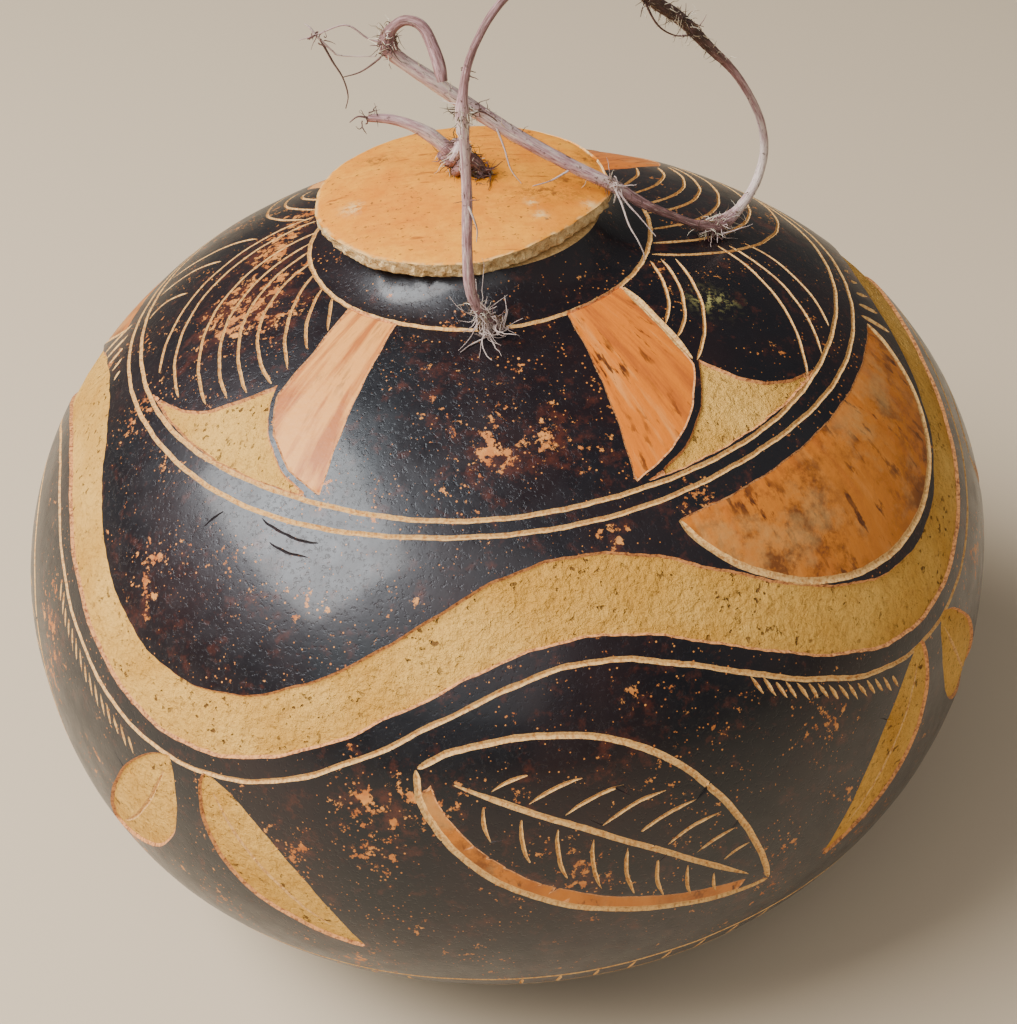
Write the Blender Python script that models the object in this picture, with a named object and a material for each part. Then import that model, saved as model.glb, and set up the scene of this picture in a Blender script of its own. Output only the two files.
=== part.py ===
"""A carved gourd container: a hollow dried bottle gourd with a loose gourd-disc lid.

A length of dried plant runner is threaded through the neck as a carrying loop, and a
short length of the same runner is knotted through the lid. The front faces -Y.
"""
import math

import bmesh
import bpy
import numpy as np
from mathutils import Matrix, Vector

# Gourd body: a lathe shape whose upper and lower halves are superellipses
BODY_RADIUS = 0.120
UPPER_HEIGHT = 0.0912
LOWER_HEIGHT = 0.0865
UPPER_POWER = 2.09
LOWER_POWER = 2.37
WALL = 0.0045
RESTING_RADIUS = 0.028

# The grown gourd leans a little towards -X and is not quite round
LEAN_DEG = 3.0
STRAIGHTENS_OVER = 0.050
BASE_X = 0.0041
SWELLS = ((2, 0.0060, 40.0), (3, 0.0040, 115.0))

# Neck and mouth, as heights above the foot of the lower superellipse
NECK_FOOT_RADIUS = 0.0387
NECK_CONTROL = (0.0335, 0.1747)
NECK_TOP = (0.0290, 0.1796)
RIM_TOP = 0.1812
RIM_OUTER = 0.0282
MOUTH_RADIUS = 0.0240

# The grown gourd has no seams. Its solid is made in three rings, so that what fills the
# hollow of one doesn't have to fill the others
NECK_SEAM_RADIUS = 0.0520
SEAM_GAP = 0.0003

# Lid: a domed disc, a little off the neck's axis, with a flattened front-right edge
LID_CENTRE = (-0.0028, 0.0009)
LID_RADIUS = 0.0336
LID_BOTTOM = 0.1810
LID_THICKNESS = 0.0042
LID_DOME = 0.0035
LID_HOLE_CENTRE = (0.0013, 0.0030)
LID_HOLE_RADIUS = 0.0027

# Hole for the handle, at the front of the neck's foot
HANDLE_HOLE_CENTRE = (-0.0026, -0.0385, 0.1722)
HANDLE_HOLE_AXIS = (-0.34, -0.36, 0.87)
HANDLE_HOLE_RADIUS = 0.0030

SEGMENTS = 64
LID_SEGMENTS = 48
ROUTE_STEP = 0.0060

# Handle: points along the runner and its radius there, from its end inside the gourd
HANDLE_ROUTE = (
    (0.0014, -0.0344, 0.1596, 0.0020),
    (0.0008, -0.0350, 0.1618, 0.0036),
    (0.0003, -0.0356, 0.1642, 0.0030),
    (-0.0004, -0.0364, 0.1668, 0.0014),
    (-0.0027, -0.0387, 0.1726, 0.0012),
    (-0.0053, -0.0407, 0.1778, 0.0012),
    (-0.0069, -0.0420, 0.1840, 0.0012),
    (-0.0072, -0.0423, 0.1930, 0.0011),
    (-0.0069, -0.0421, 0.2043, 0.0011),
    (-0.0071, -0.0423, 0.2160, 0.0010),
    (-0.0073, -0.0424, 0.2235, 0.0015),
    (-0.0072, -0.0424, 0.2270, 0.0010),
    (-0.0057, -0.0410, 0.2341, 0.0008),
    (-0.0019, -0.0378, 0.2408, 0.0008),
    (0.0030, -0.0335, 0.2450, 0.0008),
    (0.0098, -0.0278, 0.2472, 0.0009),
    (0.0160, -0.0226, 0.2465, 0.0011),
    (0.0232, -0.0164, 0.2420, 0.0013),
    (0.0310, -0.0097, 0.2336, 0.0014),
    (0.0392, -0.0028, 0.2254, 0.0014),
    (0.0454, 0.0025, 0.2174, 0.0012),
    (0.0532, 0.0092, 0.2072, 0.0009),
    (0.0596, 0.0146, 0.1948, 0.0009),
    (0.0616, 0.0160, 0.1856, 0.0010),
    (0.0600, 0.0140, 0.1782, 0.0011),
    (0.0556, 0.0092, 0.1736, 0.0012),
    (0.0503, 0.0036, 0.1726, 0.0020),
    (0.0452, 0.0002, 0.1745, 0.0011),
    (0.0395, -0.0012, 0.1776, 0.0009),
    (0.0319, -0.0030, 0.1821, 0.0012),
    (0.0252, -0.0046, 0.1874, 0.0014),
    (0.0160, -0.0048, 0.1926, 0.0015),
    (0.0048, -0.0048, 0.1994, 0.0016),
    (-0.0060, -0.0048, 0.2070, 0.0017),
    (-0.0145, -0.0050, 0.2136, 0.0017),
    (-0.0217, -0.0052, 0.2192, 0.0016),
    (-0.0236, -0.0052, 0.2222, 0.0020),
    (-0.0228, -0.0054, 0.2254, 0.0013),
    (-0.0196, -0.0060, 0.2278, 0.0011),
    (-0.0160, -0.0070, 0.2268, 0.0012),
    (-0.0138, -0.0085, 0.2226, 0.0013),
    (-0.0126, -0.0098, 0.2188, 0.0014),
    (-0.0120, -0.0108, 0.2160, 0.0011),
)

# Lid tie: points along it and its radius there, from its end under the lid
TIE_ROUTE = (
    (-0.0041, 0.0030, 0.1774, 0.0020),
    (-0.0041, 0.0030, 0.1790, 0.0031),
    (-0.0041, 0.0030, 0.1806, 0.0028),
    (-0.0042, 0.0030, 0.1826, 0.0014),
    (-0.0044, 0.0030, 0.1876, 0.0013),
    (-0.0056, 0.0032, 0.1897, 0.0016),
    (-0.0080, 0.0036, 0.1907, 0.0030),
    (-0.0104, 0.0040, 0.1912, 0.0034),
    (-0.0121, 0.0043, 0.1929, 0.0024),
    (-0.0136, 0.0045, 0.1943, 0.0017),
    (-0.0158, 0.0045, 0.1962, 0.0016),
    (-0.0192, 0.0045, 0.1983, 0.0013),
    (-0.0240, 0.0045, 0.2001, 0.0011),
    (-0.0295, 0.0045, 0.2007, 0.0009),
)


def body_height(radius):
    """Height of the upper superellipse above the foot of the lower one."""
    share = (radius / BODY_RADIUS) ** UPPER_POWER
    return LOWER_HEIGHT + UPPER_HEIGHT * (1 - share) ** (1 / UPPER_POWER)


def superellipse(radius, height, power, angle):
    """Point of a quarter superellipse, at an angle from its widest level."""
    across = radius * math.cos(angle) ** (2 / power)
    up = height * math.sin(angle) ** (2 / power)
    return across, up


def foot_height():
    """How far the flat resting spot lies above the foot of the lower superellipse."""
    share = (RESTING_RADIUS / BODY_RADIUS) ** LOWER_POWER
    return LOWER_HEIGHT * (1 - (1 - share) ** (1 / LOWER_POWER))


FOOT = foot_height()


def lean(x, y, z):
    """Stand a point of the upright gourd on the ground, leaning as it grew."""
    rise = min(max((z - FOOT) / STRAIGHTENS_OVER, 0.0), 1.0)
    angle = math.radians(LEAN_DEG) * rise * rise * (3 - 2 * rise)
    turned_x = x * math.cos(angle) - z * math.sin(angle)
    turned_z = x * math.sin(angle) + z * math.cos(angle)
    return Vector((turned_x + BASE_X, y, turned_z))


def swell(angle, radius):
    """Slightly uneven roundness, fading out towards the neck and the base."""
    share = (radius / BODY_RADIUS) ** 2
    uneven = sum(size * math.cos(count * (angle - math.radians(turn))) for count, size, turn in SWELLS)
    return 1 + share * uneven


def arc(radius, height, power, first, last, steps):
    """Points of a quarter superellipse between two angles from its widest level."""
    return [superellipse(radius, height, power, first + (last - first) * step / steps) for step in range(steps + 1)]


def angle_at_radius(radius, widest, power):
    """Angle from the widest level at which a superellipse has a radius."""
    return math.acos((radius / widest) ** (power / 2))


def angle_at_height(height, highest, power):
    """Angle from the widest level at which a superellipse has a height."""
    return math.asin((height / highest) ** (power / 2))


def upper_arc(inset, first_radius, last_radius, steps):
    """Section of the upper half between two radii, the skin or the wall's inner side."""
    widest, high = BODY_RADIUS - inset, UPPER_HEIGHT - inset
    ends = []
    for radius in (first_radius, last_radius):
        if radius is None:
            ends.append(angle_at_height(SEAM_GAP / 2, high, UPPER_POWER))
        else:
            ends.append(angle_at_radius(radius, widest, UPPER_POWER))
    return [(across, LOWER_HEIGHT + up) for across, up in arc(widest, high, UPPER_POWER, *ends, steps)]


def base_profile():
    """Lower half: from the resting spot up to the widest level, then down inside."""
    seam = angle_at_height(SEAM_GAP / 2, LOWER_HEIGHT, LOWER_POWER)
    first = angle_at_radius(RESTING_RADIUS, BODY_RADIUS, LOWER_POWER)
    outer = arc(BODY_RADIUS, LOWER_HEIGHT, LOWER_POWER, first, seam, 12)
    inner = arc(BODY_RADIUS - WALL, LOWER_HEIGHT - WALL, LOWER_POWER, seam, math.radians(80), 8)
    return [(across, LOWER_HEIGHT - down) for across, down in outer + inner]


def shoulder_profile():
    """Upper half from the widest level up to the seam round the neck, then down inside."""
    outer = upper_arc(0.0, None, NECK_SEAM_RADIUS + SEAM_GAP / 2, 11)
    inner = upper_arc(WALL, NECK_SEAM_RADIUS + SEAM_GAP / 2, None, 8)
    return outer + inner


def neck_profile():
    """Top of the gourd from the seam up the neck, over the mouth's rim and down inside."""
    points = upper_arc(0.0, NECK_SEAM_RADIUS - SEAM_GAP / 2, NECK_FOOT_RADIUS, 3)
    start = Vector((NECK_FOOT_RADIUS, body_height(NECK_FOOT_RADIUS)))
    for step in range(1, 5):
        t = step / 4
        bend = (1 - t) ** 2 * start + 2 * t * (1 - t) * Vector(NECK_CONTROL) + t * t * Vector(NECK_TOP)
        points.append(tuple(bend))
    points += [(RIM_OUTER, RIM_TOP), (MOUTH_RADIUS + 0.0008, RIM_TOP), (MOUTH_RADIUS, RIM_TOP - 0.0008)]
    return points + upper_arc(WALL, MOUTH_RADIUS, NECK_SEAM_RADIUS - SEAM_GAP / 2, 4)


def material(name, colour, roughness):
    """Principled material with a plain colour."""
    made = bpy.data.materials.new(name)
    made.use_nodes = True
    shader = made.node_tree.nodes["Principled BSDF"]
    shader.inputs["Base Color"].default_value = (*colour, 1)
    shader.inputs["Roughness"].default_value = roughness
    shader.inputs["Metallic"].default_value = 0.0
    return made


def add_object(name, data, colour, roughness):
    """Put a mesh or curve into the scene with its own material."""
    made = bpy.data.objects.new(name, data)
    bpy.context.collection.objects.link(made)
    data.materials.append(material(name, colour, roughness))
    return made


def shade_round(mesh):
    """Smooth shading that keeps the cut edges crisp."""
    mesh.shade_smooth()
    mesh.set_sharp_from_angle(angle=math.radians(40))


def ring_surface(bm, rings, closed_tube):
    """Join rings of vertices by quads, and the last ring to the first in a closed tube."""
    count = len(rings[0])
    pairs = list(zip(rings, rings[1:]))
    if closed_tube:
        pairs.append((rings[-1], rings[0]))
    for low, high in pairs:
        for i in range(count):
            j = (i + 1) % count
            bm.faces.new((low[i], low[j], high[j], high[i]))


def make_shell_ring(name, profile, closed_tube):
    """One ring of the hollow gourd, or its base, which is closed in its middle."""
    bm = bmesh.new()
    angles = [2 * math.pi * i / SEGMENTS for i in range(SEGMENTS)]
    rings = []
    for radius, height in profile:
        ring = []
        for angle in angles:
            across = radius * swell(angle, radius)
            ring.append(bm.verts.new(lean(across * math.cos(angle), across * math.sin(angle), height)))
        rings.append(ring)
    ring_surface(bm, rings, closed_tube)
    if not closed_tube:
        outer_pole = bm.verts.new(lean(0, 0, FOOT))
        inner_pole = bm.verts.new(lean(0, 0, WALL))
        for i in range(SEGMENTS):
            j = (i + 1) % SEGMENTS
            bm.faces.new((outer_pole, rings[0][j], rings[0][i]))
            bm.faces.new((inner_pole, rings[-1][i], rings[-1][j]))
    drop = Matrix.Translation((0, 0, -FOOT))
    bm.transform(drop)
    bmesh.ops.recalc_face_normals(bm, faces=bm.faces)
    mesh = bpy.data.meshes.new(name)
    bm.to_mesh(mesh)
    bm.free()
    shade_round(mesh)
    return add_object(name, mesh, (0.035, 0.018, 0.013), 0.35)


def make_shell():
    """Hollow gourd, one grown piece: its solid is three rings that meet face to face."""
    make_shell_ring("gourd_shell_base", base_profile(), closed_tube=False)
    make_shell_ring("gourd_shell_shoulder", shoulder_profile(), closed_tube=True)
    neck = make_shell_ring("gourd_shell_neck", neck_profile(), closed_tube=True)
    drill(neck, handle_hole_cutter())


def handle_hole_cutter():
    """Round cutter for the hole that the handle is threaded through."""
    bm = bmesh.new()
    bmesh.ops.create_cone(bm, cap_ends=True, segments=16, radius1=HANDLE_HOLE_RADIUS,
                          radius2=HANDLE_HOLE_RADIUS, depth=0.016)
    turn = Vector((0, 0, 1)).rotation_difference(Vector(HANDLE_HOLE_AXIS)).to_matrix().to_4x4()
    bm.transform(Matrix.Translation(HANDLE_HOLE_CENTRE) @ turn)
    mesh = bpy.data.meshes.new("handle_hole_cutter")
    bm.to_mesh(mesh)
    bm.free()
    cutter = bpy.data.objects.new("handle_hole_cutter", mesh)
    bpy.context.collection.objects.link(cutter)
    cutter.hide_render = True
    cutter.display_type = "WIRE"
    return cutter


def drill(body, cutter):
    """Cut the cutter's shape out of the body."""
    cut = body.modifiers.new("drill", "BOOLEAN")
    cut.operation = "DIFFERENCE"
    cut.solver = "EXACT"
    cut.object = cutter


def lid_outline(angle):
    """Lid radius at an angle from the front, growing towards +X."""
    degrees = (math.degrees(angle) + 180) % 360 - 180
    fuller_back = 0.0010 * math.cos(angle + math.radians(140))
    flat_front_right = -0.0024 * math.exp(-((degrees - 44) / 27) ** 2)
    corner = 0.0008 * math.exp(-((degrees - 84) / 9) ** 2)
    return LID_RADIUS + fuller_back + flat_front_right + corner


def make_lid():
    """Domed disc with a hole near its middle, built as rings from the hole to the rim."""
    shares = (0.0, 0.10, 0.28, 0.50, 0.72, 0.90, 0.985, 1.0)
    layers = [(share, LID_THICKNESS) for share in shares[:-1]]
    layers += [(1.0, LID_THICKNESS * 0.86), (1.0, LID_THICKNESS * 0.14)]
    layers += [(share, 0.0) for share in reversed(shares[:-1])]
    bm = bmesh.new()
    rings = []
    for share, level in layers:
        ring = []
        for i in range(LID_SEGMENTS):
            angle = 2 * math.pi * i / LID_SEGMENTS
            out = Vector((math.sin(angle), -math.cos(angle)))
            hole = Vector(LID_HOLE_CENTRE) + LID_HOLE_RADIUS * out
            rim = Vector(LID_CENTRE) + lid_outline(angle) * out
            place = hole.lerp(rim, share)
            reach = (place - Vector(LID_CENTRE)).length / LID_RADIUS
            height = LID_BOTTOM + LID_DOME * (1 - reach * reach) + level
            ring.append(bm.verts.new(lean(place.x, place.y, height)))
        rings.append(ring)
    ring_surface(bm, rings, closed_tube=True)
    drop = Matrix.Translation((0, 0, -FOOT))
    bm.transform(drop)
    bmesh.ops.recalc_face_normals(bm, faces=bm.faces)
    mesh = bpy.data.meshes.new("gourd_lid")
    bm.to_mesh(mesh)
    bm.free()
    shade_round(mesh)
    return add_object("gourd_lid", mesh, (0.80, 0.43, 0.13), 0.55)


def smooth_route(route):
    """Points and radii read from a smooth curve through the route's own points."""
    knots = np.array(route)
    ends = np.vstack((2 * knots[0] - knots[1], knots, 2 * knots[-1] - knots[-2]))
    points = [knots[0]]
    for before, start, end, after in zip(ends, ends[1:], ends[2:], ends[3:]):
        steps = max(1, round(np.linalg.norm(end[:3] - start[:3]) / ROUTE_STEP))
        for step in range(1, steps + 1):
            t = step / steps
            bend = 2 * start + (end - before) * t
            bend = bend + (2 * before - 5 * start + 4 * end - after) * t * t
            bend = bend + (3 * start - before - 3 * end + after) * t ** 3
            points.append(bend / 2)
    return points


def make_runner(name, route, colour):
    """Round stem that follows a route, thicker at its nodes."""
    points = smooth_route(route)
    curve = bpy.data.curves.new(name, "CURVE")
    curve.dimensions = "3D"
    curve.bevel_depth = 1.0
    curve.bevel_resolution = 2
    curve.use_fill_caps = True
    spline = curve.splines.new("POLY")
    spline.points.add(len(points) - 1)
    for target, (x, y, z, radius) in zip(spline.points, points):
        target.co = (x, y, z, 1)
        target.radius = radius
    return add_object(name, curve, colour, 0.8)


def clear_scene():
    """Remove what the new scene already holds."""
    for old in list(bpy.data.objects):
        bpy.data.objects.remove(old, do_unlink=True)


clear_scene()
make_shell()
make_lid()
make_runner("vine_handle", HANDLE_ROUTE, (0.42, 0.26, 0.27))
make_runner("vine_lid_tie", TIE_ROUTE, (0.48, 0.33, 0.30))
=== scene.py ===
"""A carved dried gourd with a gourd-disc lid and a carrying loop of dried plant runner."""
import math

import bpy
import bmesh
import numpy as np
from mathutils import Matrix, Vector


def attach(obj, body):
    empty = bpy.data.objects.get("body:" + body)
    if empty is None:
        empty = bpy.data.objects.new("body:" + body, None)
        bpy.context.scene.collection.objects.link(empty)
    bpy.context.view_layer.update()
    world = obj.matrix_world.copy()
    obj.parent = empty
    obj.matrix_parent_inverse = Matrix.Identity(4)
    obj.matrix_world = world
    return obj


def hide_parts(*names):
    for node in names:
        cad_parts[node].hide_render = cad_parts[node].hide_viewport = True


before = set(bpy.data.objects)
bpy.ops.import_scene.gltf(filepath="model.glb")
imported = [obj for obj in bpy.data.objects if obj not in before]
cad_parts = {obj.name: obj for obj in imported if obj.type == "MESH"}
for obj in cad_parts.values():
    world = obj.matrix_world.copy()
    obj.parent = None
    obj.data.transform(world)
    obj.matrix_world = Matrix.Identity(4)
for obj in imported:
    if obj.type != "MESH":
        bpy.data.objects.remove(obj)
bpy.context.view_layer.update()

# Camera: it stands close in front of the gourd and looks down on the lid, as a person
# who leans over the table does. It's tilted by one degree, as it was held by hand.
CAMERA_PLACE = (0.0004, -0.3872, 0.3870)
LOOKS_DOWN_DEG, TILTED_DEG = 37.26, -1.0
SENSOR_MM, LENS_MM = 36.0, 66.63
camera_data = bpy.data.cameras.new("camera")
camera_data.sensor_width, camera_data.lens, camera_data.clip_start = SENSOR_MM, LENS_MM, 0.01
camera = bpy.data.objects.new("camera", camera_data)
camera.matrix_world = (Matrix.Translation(CAMERA_PLACE)
                       @ Matrix.Rotation(math.radians(90 - LOOKS_DOWN_DEG), 4, "X")
                       @ Matrix.Rotation(math.radians(TILTED_DEG), 4, "Z"))
bpy.context.scene.collection.objects.link(camera)
bpy.context.scene.camera = camera

# Gourd: the whole dried fruit, hollow, with a wall about 4.5 mm thick, dyed nearly black and polished. The
# carver marks places by bearing, in degrees from the front to the right, and by run, in mm along the skin
# from the top of the round body. All its lengths are in mm until its mesh is made.
BODY_RADIUS = 120.0
UPPER_HEIGHT, UPPER_POWER = 91.2, 2.09
LOWER_HEIGHT, LOWER_POWER = 86.5, 2.37
WALL = 4.5
RESTING_RADIUS = 28.0
LEAN_DEG, STRAIGHTENS_OVER, BASE_X = 3.0, 50.0, 4.1
SWELLS = ((2, 0.0060, 40.0), (3, 0.0040, 115.0))
NECK_FOOT_RADIUS = 38.7
NECK_CONTROL, NECK_TOP = (33.5, 174.7), (29.0, 179.6)
RIM_OUTER, RIM_TOP = 28.2, 181.2
MOUTH_RADIUS, MOUTH_EDGE = 24.0, 0.8
NECK_POINTS, QUARTER_POINTS = 13, 400
FOOT = LOWER_HEIGHT * (1 - (1 - (RESTING_RADIUS / BODY_RADIUS) ** LOWER_POWER) ** (1 / LOWER_POWER))


def quarter(radius, height, power, from_radius):
    """Quarter of a superellipse, from a radius out to its widest level."""
    first = math.acos((from_radius / radius) ** (power / 2))
    angle = np.linspace(first, 0, QUARTER_POINTS)
    return np.c_[radius * np.cos(angle) ** (2 / power), height * np.sin(angle) ** (2 / power)]


def runs_along(line):
    """Length along a line of points, up to each of them."""
    return np.concatenate(([0.0], np.cumsum(np.linalg.norm(np.diff(line, axis=0), axis=1))))


def gourd_profile():
    """Run, radius and height of the gourd's section, from inside its floor out and down."""
    above, below = np.array((0, LOWER_HEIGHT)), np.array((1, -1))
    whole = quarter(BODY_RADIUS, UPPER_HEIGHT, UPPER_POWER, 0.0) + above
    under = (quarter(BODY_RADIUS, LOWER_HEIGHT, LOWER_POWER, RESTING_RADIUS) * below + above)[::-1]
    outer = np.vstack((whole, under[1:], ((0.0, FOOT),)))
    outer_run = runs_along(outer)
    shown = int(np.argmax(outer[:, 0] > NECK_FOOT_RADIUS))
    t = np.linspace(0, 1, NECK_POINTS)[:, None]
    foot = outer[shown]
    neck = (1 - t) ** 2 * foot + 2 * t * (1 - t) * np.array(NECK_CONTROL) + t * t * np.array(NECK_TOP)
    rim = ((RIM_OUTER, RIM_TOP - 0.3), (RIM_OUTER - 0.3, RIM_TOP), (MOUTH_RADIUS + MOUTH_EDGE, RIM_TOP),
           (MOUTH_RADIUS, RIM_TOP - MOUTH_EDGE))
    inner_top = quarter(BODY_RADIUS - WALL, UPPER_HEIGHT - WALL, UPPER_POWER, MOUTH_RADIUS) + above
    inner_low = (quarter(BODY_RADIUS - WALL, LOWER_HEIGHT - WALL, LOWER_POWER, 0.0) * below + above)[::-1]
    inward = np.vstack((neck, rim, inner_top, inner_low[1:]))
    inward_run = outer_run[shown] - runs_along(inward)
    profile = np.c_[np.concatenate((inward_run[:0:-1], outer_run[shown:])),
                    np.vstack((inward[:0:-1], outer[shown:]))]
    return profile, {"foot": outer_run[shown], "rim": inward_run[NECK_POINTS],
                     "mouth": inward_run[NECK_POINTS + len(rim) - 1]}


PROFILE, MARKS = gourd_profile()


def radius_at(run):
    """Radius of the gourd's section at a run, in mm."""
    return np.interp(run, PROFILE[:, 0], PROFILE[:, 1])


def stand(points):
    """Points of the upright gourd, made to lean as it grew and set on the ground, in mm."""
    x, y, height = np.asarray(points).T
    rise = np.clip((height - FOOT) / STRAIGHTENS_OVER, 0, 1)
    angle = math.radians(LEAN_DEG) * rise * rise * (3 - 2 * rise)
    return np.c_[x * np.cos(angle) - height * np.sin(angle) + BASE_X, y,
                 x * np.sin(angle) + height * np.cos(angle) - FOOT]


def skin_place(bearing, run):
    """Points of the gourd's skin, uneven and leaning as it grew, in mm."""
    radius = radius_at(run)
    turn = np.radians(bearing - 90.0)
    share = (radius / BODY_RADIUS) ** 2
    uneven = sum(size * np.cos(count * (turn - math.radians(at))) for count, size, at in SWELLS)
    across = radius * (1 + share * uneven)
    height = np.interp(run, PROFILE[:, 0], PROFILE[:, 2])
    return stand(np.c_[across * np.cos(turn), across * np.sin(turn), height])


def skin_outward(bearing, run):
    """Unit vectors that point straight out of the skin."""
    along = skin_place(bearing, run + 0.2) - skin_place(bearing, run - 0.2)
    around = skin_place(bearing + 0.1, run) - skin_place(bearing - 0.1, run)
    out = np.cross(along, around)
    return out / np.maximum(np.linalg.norm(out, axis=1), 1e-12)[:, None]


def half_turn(degrees):
    """An angle brought between -180 and 180 degrees."""
    return (degrees + 180) % 360 - 180


def joined_rings(a, a_count, b, b_count, odd):
    """Triangles between two neighbouring rings of as many, half or one point."""
    fewer, more = sorted((a_count, b_count))
    i = np.arange(more if fewer == 1 else fewer)
    j = (i + 1) % len(i)
    if a_count == 1:
        return np.c_[np.full(more, a), b + i, b + j]
    if b_count == 1:
        return np.c_[a + i, np.full(more, b), a + j]
    if fewer == more:
        ai, aj, bi, bj = a + i, a + j, b + i, b + j
        lean = ((i + odd) % 2 == 0)[:, None]
        return np.vstack((np.where(lean, np.c_[ai, bi, bj], np.c_[ai, bi, aj]),
                          np.where(lean, np.c_[ai, bj, aj], np.c_[bi, bj, aj])))
    coarse, fine = (a, b) if a_count < b_count else (b, a)
    left, middle, right = fine + 2 * i, fine + 2 * i + 1, fine + (2 * i + 2) % more
    joined = np.vstack((np.c_[coarse + i, left, middle], np.c_[coarse + i, middle, coarse + j],
                        np.c_[coarse + j, middle, right]))
    return joined if a_count < b_count else joined[:, ::-1]


def carried(values, start, stop, share):
    """Values with those of freshly cut points added, mixed from the ends of the cut edges."""
    return np.append(values, values[start] * (1 - share) + values[stop] * share)


class Skin:
    """The gourd's surface as triangles, which the carver's tools cut along their marks."""
    AROUND_INSIDE, AROUND_NECK, AROUND_BODY = 56, 112, 224
    FAR_OFF, NEAR_ENOUGH, NO_CUT_PAST = 9.0, 0.07, 4.0
    FADED, JUST_INSIDE = 0.12, -1e-6

    def __init__(self):
        """Weave rings of points from the floor inside to the middle of the resting spot."""
        mouth, rim, foot, resting = MARKS["mouth"], MARKS["rim"], MARKS["foot"], PROFILE[-2, 0]
        runs = np.concatenate((
            np.linspace(PROFILE[0, 0], mouth, 38), (mouth + MOUTH_EDGE * 1.414, rim - 1.6, rim, rim + 0.45),
            np.linspace(rim + 2.2, foot, 6), np.linspace(foot, resting, 92)[1:],
            np.linspace(resting, PROFILE[-1, 0], 6)[1:]))
        points, faces, first, before = [], [], 0, 0
        for number, run in enumerate(runs, 1):
            radius = float(radius_at(run))
            if radius < 0.01:
                count = 1
            elif run < rim - 1.0 or radius < 27.0:
                count = self.AROUND_INSIDE
            else:
                count = self.AROUND_NECK if radius < 50.0 else self.AROUND_BODY
            turn = 2 * np.pi * np.arange(count) / count
            points.append(np.c_[np.sin(turn), -np.cos(turn), np.full(count, run)])
            if before:
                faces.append(joined_rings(first - before, before, first, count, number % 2))
            first, before = first + count, count
        self.where, self.faces = np.vstack(points), np.vstack(faces)
        self.kind, self.depth = np.zeros(len(self.faces), int), np.zeros(len(self.where))

    def bearing(self):
        """Bearing of every point, in degrees."""
        return np.degrees(np.arctan2(self.where[:, 0], -self.where[:, 1]))

    def near(self, centre, reach, low, high):
        """Faces with a point within reach degrees of a bearing, between two runs."""
        inside = (self.where[:, 2] > low) & (self.where[:, 2] < high)
        if reach < 180:
            inside &= np.abs(half_turn(self.bearing() - centre)) < reach
        return np.flatnonzero(inside[self.faces].any(axis=1))

    def edges_of(self, chosen):
        """Edges of the chosen faces, each face's three among them, and which lie between two."""
        corners, many = self.faces[chosen], len(self.where)
        pairs = np.sort(np.vstack((corners[:, [0, 1]], corners[:, [1, 2]], corners[:, [2, 0]])), axis=1)
        keys, back = np.unique(pairs[:, 0] * many + pairs[:, 1], return_inverse=True)
        return np.c_[keys // many, keys % many], back.reshape(3, -1).T, np.bincount(back.ravel()) == 2

    def split(self, chosen, ends, sides, marked, share):
        """Cut the marked edges at a share of their length, and the faces that meet them."""
        if not marked.any():
            return
        start, stop, share = ends[marked, 0], ends[marked, 1], share[marked]
        fresh = self.where[start] * (1 - share[:, None]) + self.where[stop] * share[:, None]
        fresh[:, :2] /= np.linalg.norm(fresh[:, :2], axis=1)[:, None]
        number = np.full(len(ends), -1)
        number[marked] = len(self.where) + np.arange(len(fresh))
        self.where = np.vstack((self.where, fresh))
        self.depth = carried(self.depth, start, stop, share)
        middles, corners, kinds = number[sides], self.faces[chosen], self.kind[chosen]
        count = (middles >= 0).sum(axis=1)
        children, child_kinds = [self.faces], [self.kind]
        for amount in (1, 2, 3):
            rows = np.flatnonzero(count == amount)
            odd_one = np.argmax((middles[rows] >= 0) == (amount == 1), axis=1)
            order = (odd_one[:, None] + np.arange(3)) % 3
            a, b, c = np.take_along_axis(corners[rows], order, axis=1).T
            ab, bc, ca = np.take_along_axis(middles[rows], order, axis=1).T
            parts = {1: ((a, ab, c), (ab, b, c)), 2: ((ca, bc, c), (a, b, bc), (a, bc, ca)),
                     3: ((a, ab, ca), (ab, b, bc), (ca, bc, c), (ab, bc, ca))}[amount]
            self.faces[chosen[rows]] = np.c_[parts[0]]
            children += [np.c_[part] for part in parts[1:]]
            child_kinds += [kinds[rows]] * (len(parts) - 1)
        self.faces, self.kind = np.vstack(children), np.concatenate(child_kinds)

    def refine(self, area, measure, within, longest):
        """Halve the edges near a mark that are longer than the tool's line can follow."""
        chosen = self.near(*area)
        ends, sides, shared = self.edges_of(chosen)
        (here, there), (run, far_run) = self.bearing()[ends.T], self.where[ends.T, 2]
        off, middle_run = half_turn(here - there), (run + far_run) / 2
        length = np.hypot(np.radians(off) * radius_at(middle_run), run - far_run)
        distance = measure(there + off / 2, middle_run)[0]
        marked = shared & (length > longest) & (np.abs(distance) < within)
        self.split(chosen, ends, sides, marked, np.full(len(ends), 0.5))

    def cut(self, area, value, allowed=None):
        """Cut the faces where a value given at every point passes through zero."""
        value[np.abs(value) < self.NEAR_ENOUGH] = 0.0
        chosen = self.near(*area)
        ends, sides, shared = self.edges_of(chosen)
        a, b = value[ends.T]
        marked = shared & (a * b < 0) & (np.maximum(np.abs(a), np.abs(b)) < self.NO_CUT_PAST)
        share = np.divide(a, a - b, out=np.full(len(a), 0.5), where=marked)
        if allowed is not None:
            marked &= allowed(ends, share)
        self.split(chosen, ends, sides, marked, share)
        return ends[marked, 0], ends[marked, 1], share[marked]

    def measured(self, area, measure):
        """Distance to a mark and its width's share at every point, far off beyond its area."""
        distance, fade = np.full(len(self.where), self.FAR_OFF), np.zeros(len(self.where))
        reached = np.unique(self.faces[self.near(*area)])
        distance[reached], fade[reached] = measure(self.bearing()[reached], self.where[reached, 2])
        return distance, fade

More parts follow.
